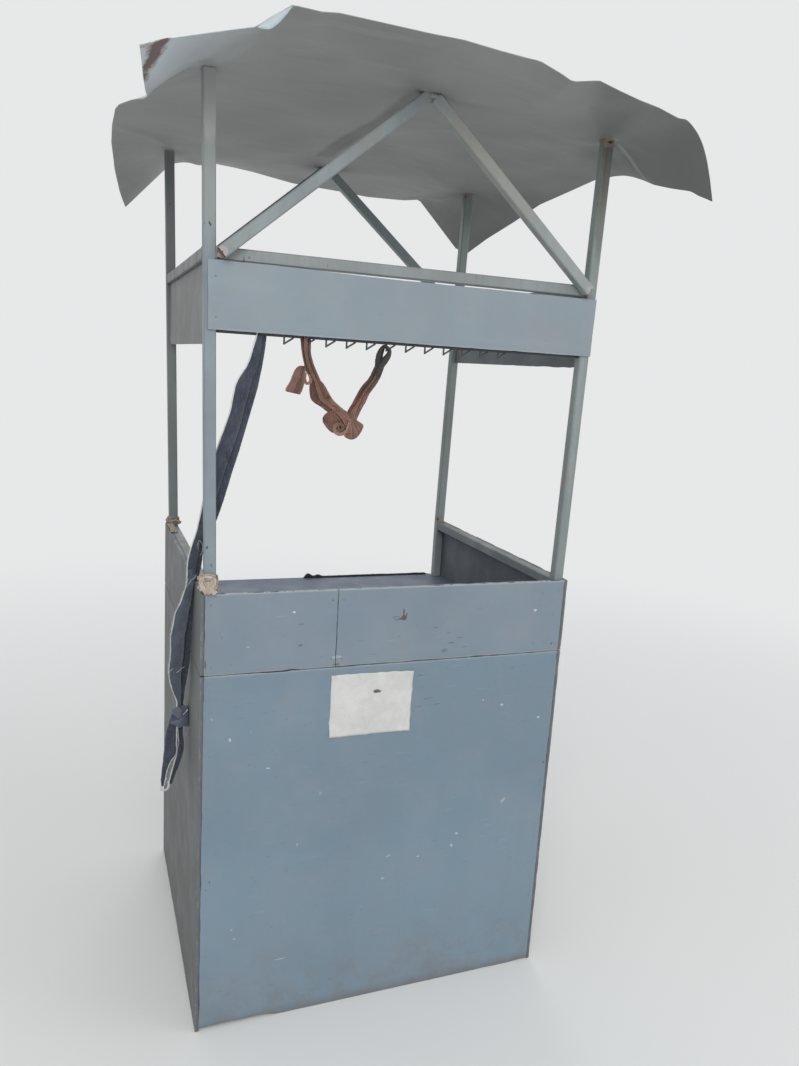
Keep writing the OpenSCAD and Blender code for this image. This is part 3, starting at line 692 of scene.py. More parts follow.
# Small fittings.
def nails():
    """Nail heads along the boards' edges: flat domes, a little out of round, with a shank in the board."""
    boards = (("front_board", -1), ("left_board", -1), ("right_board", 1), ("rear_board", 1))
    bands = (("front_band_left", -1), ("front_band_right", -1),
             ("left_upper_board", -1), ("right_upper_board", 1))
    headers = (("front_header", -1), ("left_header", -1), ("right_header", 1))
    # for each kind: heads in a row, and their distances from the lower, upper, first and second side edge
    spots = []
    for kind, count, from_low, from_high, from_a, from_b in (
        (boards, 6, 0.035, 0.020, 0.013, 0.013),
        (bands, 2, 0.018, 0.022, 0.013, 0.013),
        (headers, 2, 0.025, 0.025, 0.016, 0.018),
    ):
        for node, outward in kind:
            low, high = (np.array(v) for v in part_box(node))
            thick = int(np.argmin(high - low))
            across = 1 - thick
            face = high[thick] if outward > 0 else low[thick]
            for side in (low[across] + from_a, high[across] - from_b):
                for n, z in enumerate(np.linspace(low[2] + from_low, high[2] - from_high, count)):
                    spot = Vector((face, face, z + 0.004 * math.sin(n * 2.3 + face * 40)))
                    spot[across] = side + 0.0015 * math.cos(n * 1.7)
                    spots.append((spot, thick, outward))
    points, faces = [], []
    around = 12
    for n, (centre, thick, outward) in enumerate(spots):
        faces += tube_faces(4, around, len(points), outward < 0)
        radius = 0.0021 * (1 + 0.12 * math.sin(n * 3.1))
        for rise, share in ((-0.0004, 1.0), (0.0003, 0.97), (0.0007, 0.70), (0.0009, 0.30)):
            for i in range(around):
                angle = 2 * math.pi * i / around
                reach = radius * share * (1 + 0.06 * math.sin(2 * angle + n))
                p = centre.copy()
                p[1 - thick] += reach * math.cos(angle)
                p[2] += reach * math.sin(angle)
                p[thick] += outward * rise
                points.append(p)
    look = two_tone("nail_look", (0.18, 0.225, 0.26), (0.12, 0.11, 0.105), (90, 4, 0.7), 0.52, 0.66,
                    (0.4, 0.0003), 0.6, metal=0.2)
    obj = make("nails", points, faces, look)
    modifier(obj, "EDGE_SPLIT", split_angle=math.radians(50))


def weld_beads():
    """Lumpy runs of weld metal where the tubes and the roof meet."""
    runs = []

    def bead(a, b, radius=0.0016):
        runs.append(((a, b), radius))

    def upright_bead(x, y, low, high):
        bead((x, y, low[2] + 0.001), (x, y, high[2] - 0.001))

    for sx in (-1, 1):
        for node in ("front_rail", "rear_rail"):
            low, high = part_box(node)
            for y in (low[1], high[1]):
                upright_bead(sx * (post_x((low[2] + high[2]) / 2) - POST_HALF), y, low, high)
        for sy in (-1, 1):
            x, y, half = sx * post_x(POST_TOP), sy * POST_Y, 0.012
            ring = [(-half, -half), (half, -half), (half, half), (-half, half)]
            corners = [(x + dx, y + dy, POST_TOP - 0.0012) for dx, dy in ring]
            for a, b in zip(corners, corners[1:] + corners[:1]):
                bead(a, b, 0.0020)
    for node in ("left_rail", "right_rail"):
        low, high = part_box(node)
        for y in (low[1], high[1]):
            for x in (low[0], high[0]):
                upright_bead(x, y, low, high)
    # the bars end in a square cut on the rails, and their heads meet below the roof
    for name in ("front_gable_left", "front_gable_right", "rear_gable_left", "rear_gable_right"):
        low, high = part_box(name)
        toward = 1 if "left" in name else -1
        outer, inner = (low[0], high[0]) if toward > 0 else (high[0], low[0])
        behind = high[1] if "front" in name else low[1]
        bead((outer, behind, low[2] + 0.019), (outer + toward * 0.016, behind, low[2] + 0.001), 0.0021)
        bead((inner, low[1], high[2] - 0.022), (inner, low[1], high[2] - 0.003), 0.0015)
        if toward > 0:
            for y in (low[1] + 0.003, low[1] + 0.010, high[1] - 0.003):
                bead((inner - 0.006, y, high[2] - 0.006), (inner + 0.022, y, high[2] - 0.004), 0.0055)
    p = Paint("weld_look")
    painted = p.noise(42, 4, 0.65)
    p.ground((0.25, 0.275, 0.275), (0.27, 0.225, 0.185), painted, 0.44, 0.56)
    p.lay(RUST, painted, 0.66, 0.74)
    p.bump(p.noise(400, 3, 0.6), 0.4, 0.0005)
    tubes("weld_beads", runs, p.finish(0.55))


def paper():
    """A bare sheet of paper glued on the front board, its corners a little loose."""
    pixels = ((328.5, 738), (409, 730), (331.5, 675.5), (413.5, 670))
    low_a, low_b, high_a, high_b = (seen_at(px, py, FRONT_Y - 0.0005) for px, py in pixels)
    rows, cols = 33, 45
    u = np.tile(np.linspace(0, 1, cols), rows)
    v = np.repeat(np.linspace(0, 1, rows), cols)
    flat = np.array([tuple(low_a.lerp(low_b, i).lerp(high_a.lerp(high_b, i), j)) for i, j in zip(u, v)])
    lift = 0.0004 + 0.0007 * np.maximum(0, layered(flat, 22, 71))
    for cu, cv, amount in ((1, 1, 0.0040), (0, 0, 0.0022), (1, 0, 0.0016), (0, 1, 0.0012)):
        lift = lift + amount * np.exp(-(((u - cu) / 0.10) ** 2 + ((v - cv) / 0.13) ** 2))
    flat[:, 1] -= lift
    edge = np.minimum.reduce([u, 1 - u, v, 1 - v])
    nick = 0.0010 * layered(flat, 60, 75) * np.exp(-edge / 0.02)
    flat[:, 0] += nick * np.where(u < 0.5, 1, -1)
    flat[:, 2] += nick * np.where(v < 0.5, 1, -1)
    p = Paint("paper_look")
    base = (0.66, 0.66, 0.645)
    p.ground(shade(base, 0.93), shade(base, 1.05), p.noise(26, 4, 0.6), 0.35, 0.7)
    crumpled = p.cells(24, p.stirred(30, 0.02), "DISTANCE_TO_EDGE")
    # painted shade: darker along the crumple lines
    p.lay((0.42, 0.42, 0.42), p.span(crumpled, 0.0, 0.035, 0.20, 0))
    p.lay((0.36, 0.36, 0.37), p.noise(70, 4, 0.7), 0.60, 0.72, 0.35)
    tear = tuple(seen_at(377.2, 691.2, FRONT_Y - 0.001))
    p.lay((0.12, 0.12, 0.125), p.spot(p.stirred(160, 0.006), tear, (0.0115, 0.01, 0.0048)))
    p.bump(p.noise(300, 2), 0.1, 0.0003)
    p.bump(crumpled, 0.25, 0.0008)
    obj = make("paper", flat, grid_faces(rows, cols), p.finish(0.85))
    modifier(obj, "SOLIDIFY", thickness=0.0003, offset=0)


def edge_strip():
    """The soft black strip along the counter's rear edge, with a lump at its left end."""
    low, high = (np.array(v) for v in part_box("counter_edge_strip"))
    size = high - low
    rows, around = 150, 20
    t = np.linspace(0, 1, rows)[:, None]
    angle = 2 * math.pi * np.arange(around) / around
    c, s = np.cos(angle), np.sin(angle)
    end = np.minimum(1, np.sin(math.pi * t) * 14 + 0.05)
    lump = 1 + 0.10 * layered(np.pad(t * size[0], ((0, 0), (0, 2))), 28, 81)[:, None]
    at_lump = np.exp(-((t - 0.042) / 0.028) ** 2) + 0.60 * np.exp(-((t - 0.115) / 0.024) ** 2)
    square = (abs(c) ** 4 + abs(s) ** 4) ** -0.25
    places = np.stack(np.broadcast_arrays(t * size[0], c * 0.01, s * 0.01), -1).reshape(-1, 3)
    rough = 1 + 0.10 * noise(places, 160, 83).reshape(rows, around)
    half_y = size[1] / 2 * end * np.minimum(1, lump) * square
    half_z = size[2] / 2 * end * (lump * 0.78 + 1.5 * at_lump) * square
    points = np.stack(np.broadcast_arrays(
        low[0] + 0.001 + t * (size[0] - 0.002),
        (low[1] + high[1]) / 2 + half_y * c * rough * 0.97,
        low[2] + half_z + half_z * s * rough + 0.0002,
    ), -1).reshape(-1, 3)
    look = two_tone("strip_look", (0.020, 0.022, 0.026), (0.060, 0.058, 0.055), (45, 4, 0.65), 0.45, 0.72,
                    (0.5, 0.0012), 0.75)
    obj = make("counter_edge_strip_soft", points, tube_faces(rows, around), look)
    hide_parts("counter_edge_strip")


nails()
weld_beads()
paper()
edge_strip()


# Roof sheet.
def sheet_look():
    p = Paint("sheet_look")
    base = (0.322, 0.330, 0.324)
    cloudy = p.noise(3.2, 4)
    p.ground(shade(base, 0.92), shade(base, 1.07), cloudy, 0.3, 0.7)
    p.lay(shade(base, 0.72), p.noise(19, 5, 0.62, (0.30, 1.4, 1)), 0.50, 0.70, 0.24)
    p.lay(shade(base, 1.30), p.noise(15, 5, 0.62, (0.30, 1.7, 1), (3, 2, 1)), 0.54, 0.70, 0.30)
    where = p.span(p.noise(5), 0.58, 0.64)
    p.lay(shade(base, 1.7), p.times(p.dots(13, p.stirred(60, 0.02), 0.03, 0.07), where, 0.5))
    # it is sootier to the right
    sooty = p.plus(p.span(p.axes()[0], 0.05, 0.62, 0, 0.9), p.noise(4, 4, 0.6))
    p.lay(shade(base, 0.50), sooty, 0.5, 1.5, 0.75)
    # dark smears along the ridge and round what the sheet is welded to: soot, and painted shade of the ridge
    # fold and of the dimples round the posts
    loose = p.stirred(5, 0.10, (1, 1, 0))
    soot_and_shade = shade(base, 0.42)
    for place, a, b, half, share in (
        (loose, (-0.02, -0.46), (-0.03, -0.37), 0.075, 0.40),
        (loose, (0.44, -0.40), (0.31, -0.66), 0.060, 0.35),
        (loose, (0.37, -0.40), (0.45, -0.36), 0.050, 0.35),
        (loose, (-0.46, 0.36), (-0.42, 0.44), 0.060, 0.40),
        (loose, (0.42, 0.36), (0.48, 0.42), 0.060, 0.40),
        (loose, (-0.04, 0.34), (0.02, 0.44), 0.080, 0.45),
        (p.stirred(14, 0.022, (1, 1, 0)), (-0.056, 0.27), (-0.022, -0.41), 0.036, 0.70),
    ):
        p.lay(soot_and_shade, p.times(p.line(place, a, b, half), share))
    # painted light: the flap at the front left is painted paler toward its edge with a painted highlight
    # along its roll, and the crease at the right post gets a painted highlight
    p.lay((0.62, 0.70, 0.745), p.attribute("pale"))
    level = p.stirred(60, 0.004, (1, 1, 0))
    crease = p.line(level, (0.476, -0.383), (0.625, -0.348), 0.0085)
    p.lay((0.46, 0.48, 0.48), p.times(crease, 0.42))
    # painted shade beside the crease at the right post
    p.lay(shade(base, 0.4), p.times(p.line(level, (0.470, -0.372), (0.56, -0.340), 0.010), 0.45))
    # the upper face is paler and bluish: weathered paint, and painted sky light
    below = p.color
    p.ground((0.40, 0.45, 0.47), (0.50, 0.54, 0.55), p.noise(4, 5, 0.65), 0.35, 0.68)
    p.lay((0.33, 0.35, 0.35), p.noise(17, 6, 0.72), 0.46, 0.70, 0.45)
    p.lay((0.34, 0.31, 0.27), p.noise(8, 5, 0.7, shift=(4, 7, 1)), 0.56, 0.74, 0.50)
    facing = p.node("ShaderNodeSeparateXYZ", {0: p.node("ShaderNodeNewGeometry").outputs["Normal"]})
    p.color = p.mix(p.span(facing.outputs[2], 0.2, 0.6), below, p.color)
    # rust at the front left corner, at the front right post and in small patches
    eaten = p.plus(p.times(p.attribute("rust"), 0.60), p.noise(30, 5, 0.72))
    p.lay((0.34, 0.30, 0.27), eaten, 0.78, 0.90, 0.75)
    p.lay((0.185, 0.130, 0.120), eaten, 0.93, 1.0)
    small = p.span(p.noise(10, 5, 0.72, shift=(8, 2, 3)), 0.72, 0.80)
    p.lay(shade(RUST_PALE, 0.7), p.times(small, 0.6))
    p.bump(p.noise(6, 3, 0.5), 0.22, 0.004)
    p.bump(p.noise(240, 3, 0.6), 0.12, 0.0004)
    return p.finish(p.span(cloudy, 0.3, 0.7, 0.50, 0.66))


def smooth_grid(g, rounds, hold):
    for _ in range(rounds):
        s = g.copy()
        s[1:-1, :] += 0.25 * (g[2:, :] - 2 * g[1:-1, :] + g[:-2, :])
        t = s.copy()
        t[:, 1:-1] += 0.25 * (s[:, 2:] - 2 * s[:, 1:-1] + s[:, :-2])
        g = g * hold + t * (1 - hold)
    return g


# The sheet's edges in the picture, in its pixels.
FRONT_RIM = (
    (139, 44.8), (167, 38.6), (205, 33.6), (238, 29.3), (256.4, 27.1), (271, 17.2), (292.8, 5.3), (310, 9.3),
    (322, 12.2), (340, 13.4), (385, 23.5), (430, 33.7), (464, 40.3), (500, 51), (528, 58.6), (540, 61.3),
    (553, 69), (565, 76.4), (572.4, 82), (599.5, 81), (619.3, 91), (640.4, 100.9), (658.9, 108.1),
    (674.8, 116.7), (686.7, 122.7),
)
REAR_RIM = (
    (125, 207.7), (144, 189.5), (164.3, 170.2), (174.7, 163), (180, 160.7), (204, 161.5), (236, 168),
    (252.8, 172), (292.8, 183.4), (339.7, 191.5), (367.5, 197), (404, 200.4), (419, 199.8), (434.7, 220.6),
    (455.6, 248.4), (466, 254.3),
)
RIGHT_RIM = (
    (466, 254.3), (486.8, 239), (514.6, 221.7), (540, 204.6), (562.5, 194.7), (594.8, 180.2), (615.3, 176.2),
    (624.6, 175.6), (632.5, 176.9), (643, 180.2), (653.6, 184.8), (672.1, 188.7), (695.3, 192),
    (712.8, 199.3),
)
# the soft roll between the front left corner flap and the rest, which starts at this y
ROLL = (
    (-0.60, -0.375), (-0.562, -0.362), (-0.50, -0.335), (-0.468, -0.385), (-0.437, -0.455), (-0.402, -0.525),
    (-0.365, -0.606),
)
ROLL_START = -0.335
TIP_X, TIP_Y = -0.011, 0.4015
SHEET_EDGE = 0.606
MOST_RISE = 0.035
# the share of the sheet's width at its right edge that the edge takes along
RIGHT_SHARE = 12 / 38
# pressed lines, deepest at their first end: both ends, depth and width
CREASES = (
    (0.462, -0.385, 0.606, -0.350, -0.012, 0.010), (0.458, -0.345, 0.60, -0.25, 0.006, 0.02),
    (0.43, -0.41, 0.36, -0.60, 0.006, 0.025), (0.43, 0.36, 0.20, 0.16, -0.005, 0.02),
    (0.42, 0.40, 0.33, 0.60, -0.006, 0.012), (-0.43, 0.38, -0.30, 0.60, -0.006, 0.015),
    (-0.44, 0.33, -0.60, 0.12, -0.005, 0.014),
)


def sheet_grid():
    """The lower face of the roof solid as three arrays of x, y and z, four times as fine."""
    co = np.array([v.co for v in nodes["roof_sheet"].data.vertices], float)
    co = np.unique(np.round(co, 6), axis=0)
    same = 2e-5
    rows = []
    for y in np.unique(np.round(co[:, 1], 5)):
        line = co[np.abs(co[:, 1] - y) < same]
        xs = np.unique(np.round(line[:, 0], 5))
        rows.append([[x, y, line[np.abs(line[:, 0] - x) < same][:, 2].min()] for x in xs])
    grid = np.array(rows)

    def finer(g, axis):
        n = g.shape[axis]
        at = np.linspace(0, n - 1, (n - 1) * 4 + 1)
        i = np.minimum(at.astype(int), n - 2)
        f = (at - i).reshape([-1, 1] if axis == 0 else [1, -1])
        return np.take(g, i, axis) * (1 - f) + np.take(g, i + 1, axis) * f

    return [finer(finer(grid[:, :, k], 0), 1) for k in range(3)]


def fit_rim(x, y, z, rim, low, high):
    """How far each point of an edge has to rise to be seen on the rim line between two pixels."""
    new = z.copy()
    for _ in range(5):
        px, py = pixel_of(np.stack([x, y, new], -1))
        lower = pixel_of(np.stack([x, y, new - MM], -1))[1]
        new = new + (py - np.interp(px, *np.array(rim).T)) / (lower - py) * MM
    inside = smooth_step(px, low, low + 12) * (1 - smooth_step(px, high - 12, high))
    return np.clip(new - z, -MOST_RISE, MOST_RISE) * inside


def roof():
    x, y, z = sheet_grid()
    # the sheet keeps its height where it is welded down
    post = np.maximum(np.abs(np.abs(x) - post_x(POST_TOP)), np.abs(np.abs(y) - POST_Y))
    tip = np.maximum(np.abs(x - TIP_X), np.abs(np.abs(y) - TIP_Y))
    seat = np.minimum(post, tip)
    free = smooth_step(seat, 0.02, 0.09)
    z = smooth_grid(z, 10, 1 - smooth_step(seat, 0.013, 0.03))
    spots = np.stack([x, y, z * 0], -1).reshape(-1, 3)
    z = z + free * 0.0016 * layered(spots, 5, 31).reshape(z.shape)

    # the corner flap sags between its roll and its edge
    roll = np.array(sorted(ROLL, key=lambda spot: spot[1]))
    flap = (y < ROLL_START) & (x < np.interp(y, roll[:, 1], roll[:, 0]))
    off_roll = np.full(z.shape, 9.0)
    for (ax, ay), (bx, by) in zip(ROLL, ROLL[1:]):
        dx, dy = bx - ax, by - ay
        t = np.clip(((x - ax) * dx + (y - ay) * dy) / (dx * dx + dy * dy), 0, 1)
        off_roll = np.minimum(off_roll, np.hypot(x - ax - t * dx, y - ay - t * dy))
    beyond = off_roll * flap
    z = z - free * 0.012 * np.sin(np.clip(beyond / 0.20, 0, 1) * math.pi) * smooth_step(beyond, 0, 0.02)
    z = z - free * 0.0040 * np.exp(-(off_roll / 0.012) ** 1.4) * smooth_step(-x, 0.30, 0.42)
    for ax, ay, bx, by, depth, width in CREASES:
        dx, dy = bx - ax, by - ay
        length = math.hypot(dx, dy)
        run = ((x - ax) * dx + (y - ay) * dy) / length
        off = np.abs((x - ax) * dy - (y - ay) * dx) / length
        inside = smooth_step(run, -0.02, 0.02) * (1 - smooth_step(run, length - 0.05, length + 0.05))
        z = z + free * depth * inside * np.exp(-(off / width) ** 1.5)

    # the edges follow the picture, and what they rise fades inward
    rise_front = fit_rim(x[0], y[0], z[0], FRONT_RIM, 128, 690)
    rise_rear = fit_rim(x[-1], y[-1], z[-1], REAR_RIM, 113, 478)
    z = z + free * rise_front * smooth_step(y, -0.44, -SHEET_EDGE)
    z = z + free * rise_rear * smooth_step(y, 0.46, SHEET_EDGE)
    rise_right = fit_rim(x[:, -1], y[:, -1], z[:, -1], RIGHT_RIM, 455, 700)
    z = z + free * rise_right[:, None] * smooth_step(np.linspace(0, 1, z.shape[1]), 1 - RIGHT_SHARE, 1)

    under = np.stack([x, y, z], -1).reshape(-1, 3)
    over = under + np.array([0, 0, SHEET_THICK])
    faces = shell_faces(*z.shape, flip=True)
    obj = make("roof_sheet_crumpled", np.concatenate([under, over]), faces, sheet_look())

    def spot(px, py, wide, deep):
        return np.exp(-(((x - px) / wide) ** 2 + ((y - py) / deep) ** 2))

    down, off = (y + 0.555) * 0.96 - (x + 0.570) * 0.28, (x + 0.570) * 0.96 + (y + 0.555) * 0.28
    rust = np.exp(-((down / 0.075) ** 4 + (off / 0.017) ** 2)) + 0.55 * spot(-0.592, -0.600, 0.030, 0.020)
    rust = rust + 0.85 * spot(0.455, -0.396, 0.024, 0.016)
    top_x = 0.4535
    for px, py in ((-top_x, -POST_Y), (-top_x, POST_Y), (top_x, POST_Y), (-0.01, -0.4), (-0.01, 0.4)):
        rust = rust + 0.5 * spot(px, py, 0.020, 0.020)
    # painted light: the flap is paler toward its edge, and a painted highlight runs along the roll
    pale = (0.24 * smooth_step(beyond, 0.0, 0.05) + 0.76 * np.clip(beyond / 0.16, 0, 1) ** 1.8) * flap
    pale = pale + 0.14 * np.exp(-(off_roll / 0.016) ** 2) * smooth_step(-x, 0.36, 0.42)
    for name, values in (("rust", rust), ("pale", pale)):
        add_attribute(obj, name, np.tile(np.clip(values, 0, 1).ravel(), 2))
    modifier(obj, "EDGE_SPLIT", split_angle=math.radians(60))
    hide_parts("roof_sheet")


def turned_lip():
    """Where the front edge is folded over forward, its upper face shows."""
    fold_y = -0.6055
    # pixels of the fold, pixels of the free edge and its y
    stations = (
        (256.4, 27.4, 257.5, 28.2, -0.6065), (264, 21.8, 265.5, 29.6, -0.6090),
        (272, 15.9, 271.6, 30.2, -0.6105), (281, 10.6, 282.8, 20.0, -0.6095),
        (293.4, 5.6, 293.0, 6.6, -0.6065),
    )
    rows = 6
    points = []
    for k in range(rows):
        t = k / (rows - 1)
        bulge = Vector((0, -0.0022, 0)) * math.sin(math.pi * t)
        for ax, ay, bx, by, y in stations:
            points.append(seen_at(ax, ay, fold_y).lerp(seen_at(bx, by, y), t) + bulge)
    p = Paint("lip_look")
    # pale bluish: the upper face's paint, with painted sky light
    p.ground((0.37, 0.44, 0.48), (0.48, 0.55, 0.59), p.noise(30, 4, 0.6), 0.35, 0.7)
    p.lay((0.42, 0.44, 0.43), p.noise(90, 3, 0.6), 0.62, 0.74, 0.5)
    p.bump(p.noise(60, 3, 0.6), 0.4, 0.001)
    obj = make("roof_sheet_lip", points, grid_faces(rows, len(stations)), p.finish(0.5))
    modifier(obj, "SOLIDIFY", thickness=SHEET_THICK, offset=0)
    modifier(obj, "SUBSURF", levels=1, render_levels=1)


roof()
turned_lip()


# Cloth. A strip of cloth is folded across its width and runs along stations.
# Each station has a left and a right end of the visible width and a half depth.
CLOTH_ROW = 0.003


class Cloth:
    """One piece of cloth, gathered from several folded strips."""

    def __init__(self, name, seed):
        self.name = name
        self.seed = seed
        self.points = []
        self.faces = []
        self.marks = {"edge": [], "fade_and_shade": [], "dark": []}
        self.count = 0

    def strip(self, stations, folds, tones=0.5, crumple=(1.0, 1.0), wander=0.15, dark=(0, 0), hem=(0, 0),
              bow=0.0, seed=0):
        """folds are the places of the free edges and fold lines across, from -1 to 1, rear one first.

        tones say how pale each layer between them is, from fading and from painted shade on the layers that
        lie behind, crumple is the height of wrinkles and of pleats in millimetres, dark and hem have a
        number for each end or edge, and bow rounds the far end."""
        seed += self.seed
        wrinkle, pleat = crumple
        ends = np.array([[*a, *b, *d] for a, b, d in stations])
        middle = (ends[:, :3] + ends[:, 3:6]) / 2
        length = np.linalg.norm(np.diff(middle, axis=0), axis=1).sum()
        rows = max(8, int(length / CLOTH_ROW))
        every = along(np.concatenate([middle, ends], axis=1), rows)[:, 3:]
        left, right_end, depth = every[:, :3], every[:, 3:6], every[:, 6:9]
        passes = len(folds) - 1
        s = np.linspace(0, 1, rows)
        way = s * length
        # columns lie closer together at the two free edges
        close = np.array([0.05, 0.15]) / passes
        u = np.unique(np.concatenate([np.linspace(0, 1, passes * 9 + 1), close, 1 - close]))
        columns = len(u)
        t = u * passes
        k = np.minimum(t.astype(int), passes - 1)
        f = t - k
        f = f * 0.35 + 0.65 * (0.5 - 0.5 * np.cos(math.pi * f))
        line = np.stack([way, way * 0, way * 0], 1)
        lines = []
        for n, place in enumerate(folds):
            roam = (wander * (1 - abs(place)) + 0.05) * layered(line + [0, n * 1.7, 0], 14, seed + n, 2)
            lines.append(np.clip(place + roam, -1, 1) if abs(place) < 0.98 else np.full(rows, float(place)))
        lines = np.array(lines).T
        across = lines[:, k] * (1 - f) + lines[:, k + 1] * f
        round_off = np.sqrt(np.clip(1 - (0.93 * across) ** 2, 0, 1))
        deep = (2 * u - 1)[None, :] * (0.35 + 0.65 * round_off)
        middle = (left + right_end) / 2
        half = (right_end - left) / 2
        half_wide = np.linalg.norm(half, axis=1)[:, None]
        spots = middle[:, None, :] + across[..., None] * half[:, None, :]
        spots = spots + deep[..., None] * depth[:, None, :]
        onward = (middle[-1] - middle[0]) / max(np.linalg.norm(middle[-1] - middle[0]), 1e-6)
        spots = spots + (bow * s[:, None] * (1 - across ** 2))[..., None] * onward
        where = np.stack([np.repeat(way, columns), np.tile(t * 0.03, rows), np.zeros(rows * columns)], 1)
        normal = depth / np.maximum(np.linalg.norm(depth, axis=1, keepdims=True), 1e-9)
        push = wrinkle * (layered(where, 45, seed + 40) + 0.8 * noise(where * [1, 3, 1], 130, seed + 50))
        push = (push + pleat * noise(where * [0.12, 1, 1], 150, seed + 60)) * MM
        self.faces += grid_faces(rows, columns, self.count)
        self.count += rows * columns
        self.points.append(spots.reshape(-1, 3) + np.repeat(normal, columns, 0) * push[:, None])
        # the free edges: 1 at the edge, 0 at 3 mm from it
        rim = np.zeros((rows, columns))
        for strength, first, here in ((hem[0], 0, t <= 1), (hem[1], -1, t >= passes - 1)):
            off = np.abs(across - lines[:, first][:, None]) * half_wide
            rim = np.maximum(rim, strength * np.clip((0.0030 - off) / 0.0014, 0, 1) * here)
        creased = np.abs(0.5 - f) * 2
        tone = np.broadcast_to(tones, passes)[k]
        # painted shade: a layer is darker beside the fold that lies over it
        over = np.minimum(k + 2, passes)
        gap = np.abs(across - lines[:, over]) * half_wide
        shaded = np.where(k + 2 <= passes, 0.65 * np.exp(-gap / 0.0028), 0)
        self.marks["edge"].append(rim.ravel())
        # wear and a painted highlight: each layer is paler at its fold edges
        self.marks["fade_and_shade"].append(np.tile(tone * (0.6 + 0.4 * creased ** 6), rows))
        self.marks["dark"].append((shaded + (dark[0] + (dark[1] - dark[0]) * s)[:, None]).ravel())

    def ring(self, centre, axis, wide, height, folds, **more):
        """A thick strip laid round an axis, a little less deep than wide."""
        axis = Vector(axis).normalized()
        side = (Vector((1, 0, 0)) - axis * axis.x).normalized() * wide
        ahead = axis.cross(side) * 0.88
        stations = []
        for angle in np.linspace(0, 2.3 * math.pi, 16):
            radial = side * math.cos(angle) + ahead * math.sin(angle)
            spot = centre + radial
            stations.append((spot - axis * height, spot + axis * height, radial.normalized() * 0.012))
        self.strip(stations, folds, **more)

    def build(self, material, thick, node, limit=None):
        points = np.concatenate(self.points)
        if limit:
            points = limit(points)
        obj = make(self.name, points, self.faces, material)
        for key, value in self.marks.items():
            add_attribute(obj, key, np.concatenate(value))
        modifier(obj, "SOLIDIFY", thickness=thick, offset=0)
        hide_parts(node)
        return obj


def seen_strip(left, right_side, places, depth):
    """Stations from the picture: the two ends in pixels and the place along y of each station."""
    n = len(left)
    view = Vector((math.sin(YAW), math.cos(YAW), 0))
    places, depth = np.broadcast_to(places, n), np.broadcast_to(depth, n)
    return [
        (seen_at(*a, float(y)), seen_at(*b, float(y)), view * -float(d))
        for a, b, y, d in zip(left, right_side, places, depth)
    ]


def seen_band(line, half, places, depth=0.003):
    """Stations along a line of pixels, with half a width to each side of it."""
    line = np.array(line, float)
    half = np.broadcast_to(half, len(line))[:, None]
    ahead = np.gradient(line, axis=0)
    side = np.stack([ahead[:, 1], -ahead[:, 0]], 1) / np.linalg.norm(ahead, axis=1, keepdims=True) * half
    return seen_strip(line - side, line + side, places, depth)


def cloth_look(name, dark, pale, hem, weave, shade_and_soil):
    p = Paint(name)
    # the layers' tones, with painted shade on the layers behind and painted highlights at their fold edges
    share = p.plus(p.attribute("fade_and_shade"), p.times(p.math("SUBTRACT", p.noise(26, 4, 0.6), 0.5), 0.8))
    p.ground(dark, pale, share, 0.05, 0.95)
    p.lay(pale, p.noise(320, 3, 0.7, (1, 1, 0.25)), 0.45, 0.7, 0.35)
    # painted shade beside the folds that lie over a layer and darker ends given per strip, then soil in
    # patches
    p.lay(shade_and_soil, p.attribute("dark"))
    p.lay(shade_and_soil, p.noise(14, 4, 0.6, shift=(5, 3, 1)), 0.58, 0.75, 0.35)
    frayed = p.plus(p.attribute("edge"), p.times(p.noise(160, 3, 0.6), 0.5))
    p.lay(hem, frayed, 0.50, 0.72)
    feeds = {"Vector": p.place, "Scale": weave, "Distortion": 2.0}
    p.bump(p.noise(90, 4, 0.6), 0.55, 0.002)
    p.bump(p.node("ShaderNodeTexWave", feeds, bands_direction="DIAGONAL").outputs["Fac"], 0.18, 0.0003)
    return p.finish(0.93, sheen=0.25)


DENIM_LEFT = (
    (258, 327), (257, 333), (253.5, 345), (247.6, 363.5), (236.9, 381), (233, 396), (229.7, 411.7),
    (224, 428), (217.6, 446), (212.5, 463), (208, 480), (204, 496), (200.5, 512), (197.5, 527), (194, 538),
    (190.8, 548), (188.4, 558), (187.3, 568), (187.2, 577), (186.0, 586), (183.2, 594), (180.0, 602.8),
    (175.6, 611.5), (173.4, 623), (171.0, 636), (170.6, 653), (169.4, 667), (169.6, 677), (171.7, 687),
    (175, 695.5), (176.9, 701), (176.5, 709),
)
DENIM_RIGHT = (
    (267, 327), (266.5, 333), (265.2, 346), (262.3, 364), (258.3, 384), (254.5, 398), (249.5, 415),
    (244.5, 432), (239, 451), (233, 469), (227.5, 487), (222.5, 503), (216, 521), (209, 533),
    (204.8, 543), (203.0, 552), (202.0, 560), (200.4, 569), (198.3, 577), (197.3, 586),
    (196.6, 595), (195.8, 604), (194.8, 614), (193.2, 625), (191.6, 638), (190.0, 655),
    (188.2, 668), (186.3, 679), (184.8, 688), (183.6, 697), (182.8, 703), (184, 709),
)
DENIM_Y = (
    -0.3765, -0.3765, -0.375, -0.373, -0.370, -0.367, -0.364, -0.360, -0.356, -0.353, -0.351, -0.349,
    -0.346, -0.340, -0.333, -0.325, -0.315, -0.306, -0.300, -0.295, -0.289, -0.282, -0.274,
    -0.266, -0.256, -0.244, -0.234, -0.228, -0.222, -0.216, -0.213, -0.21,
)
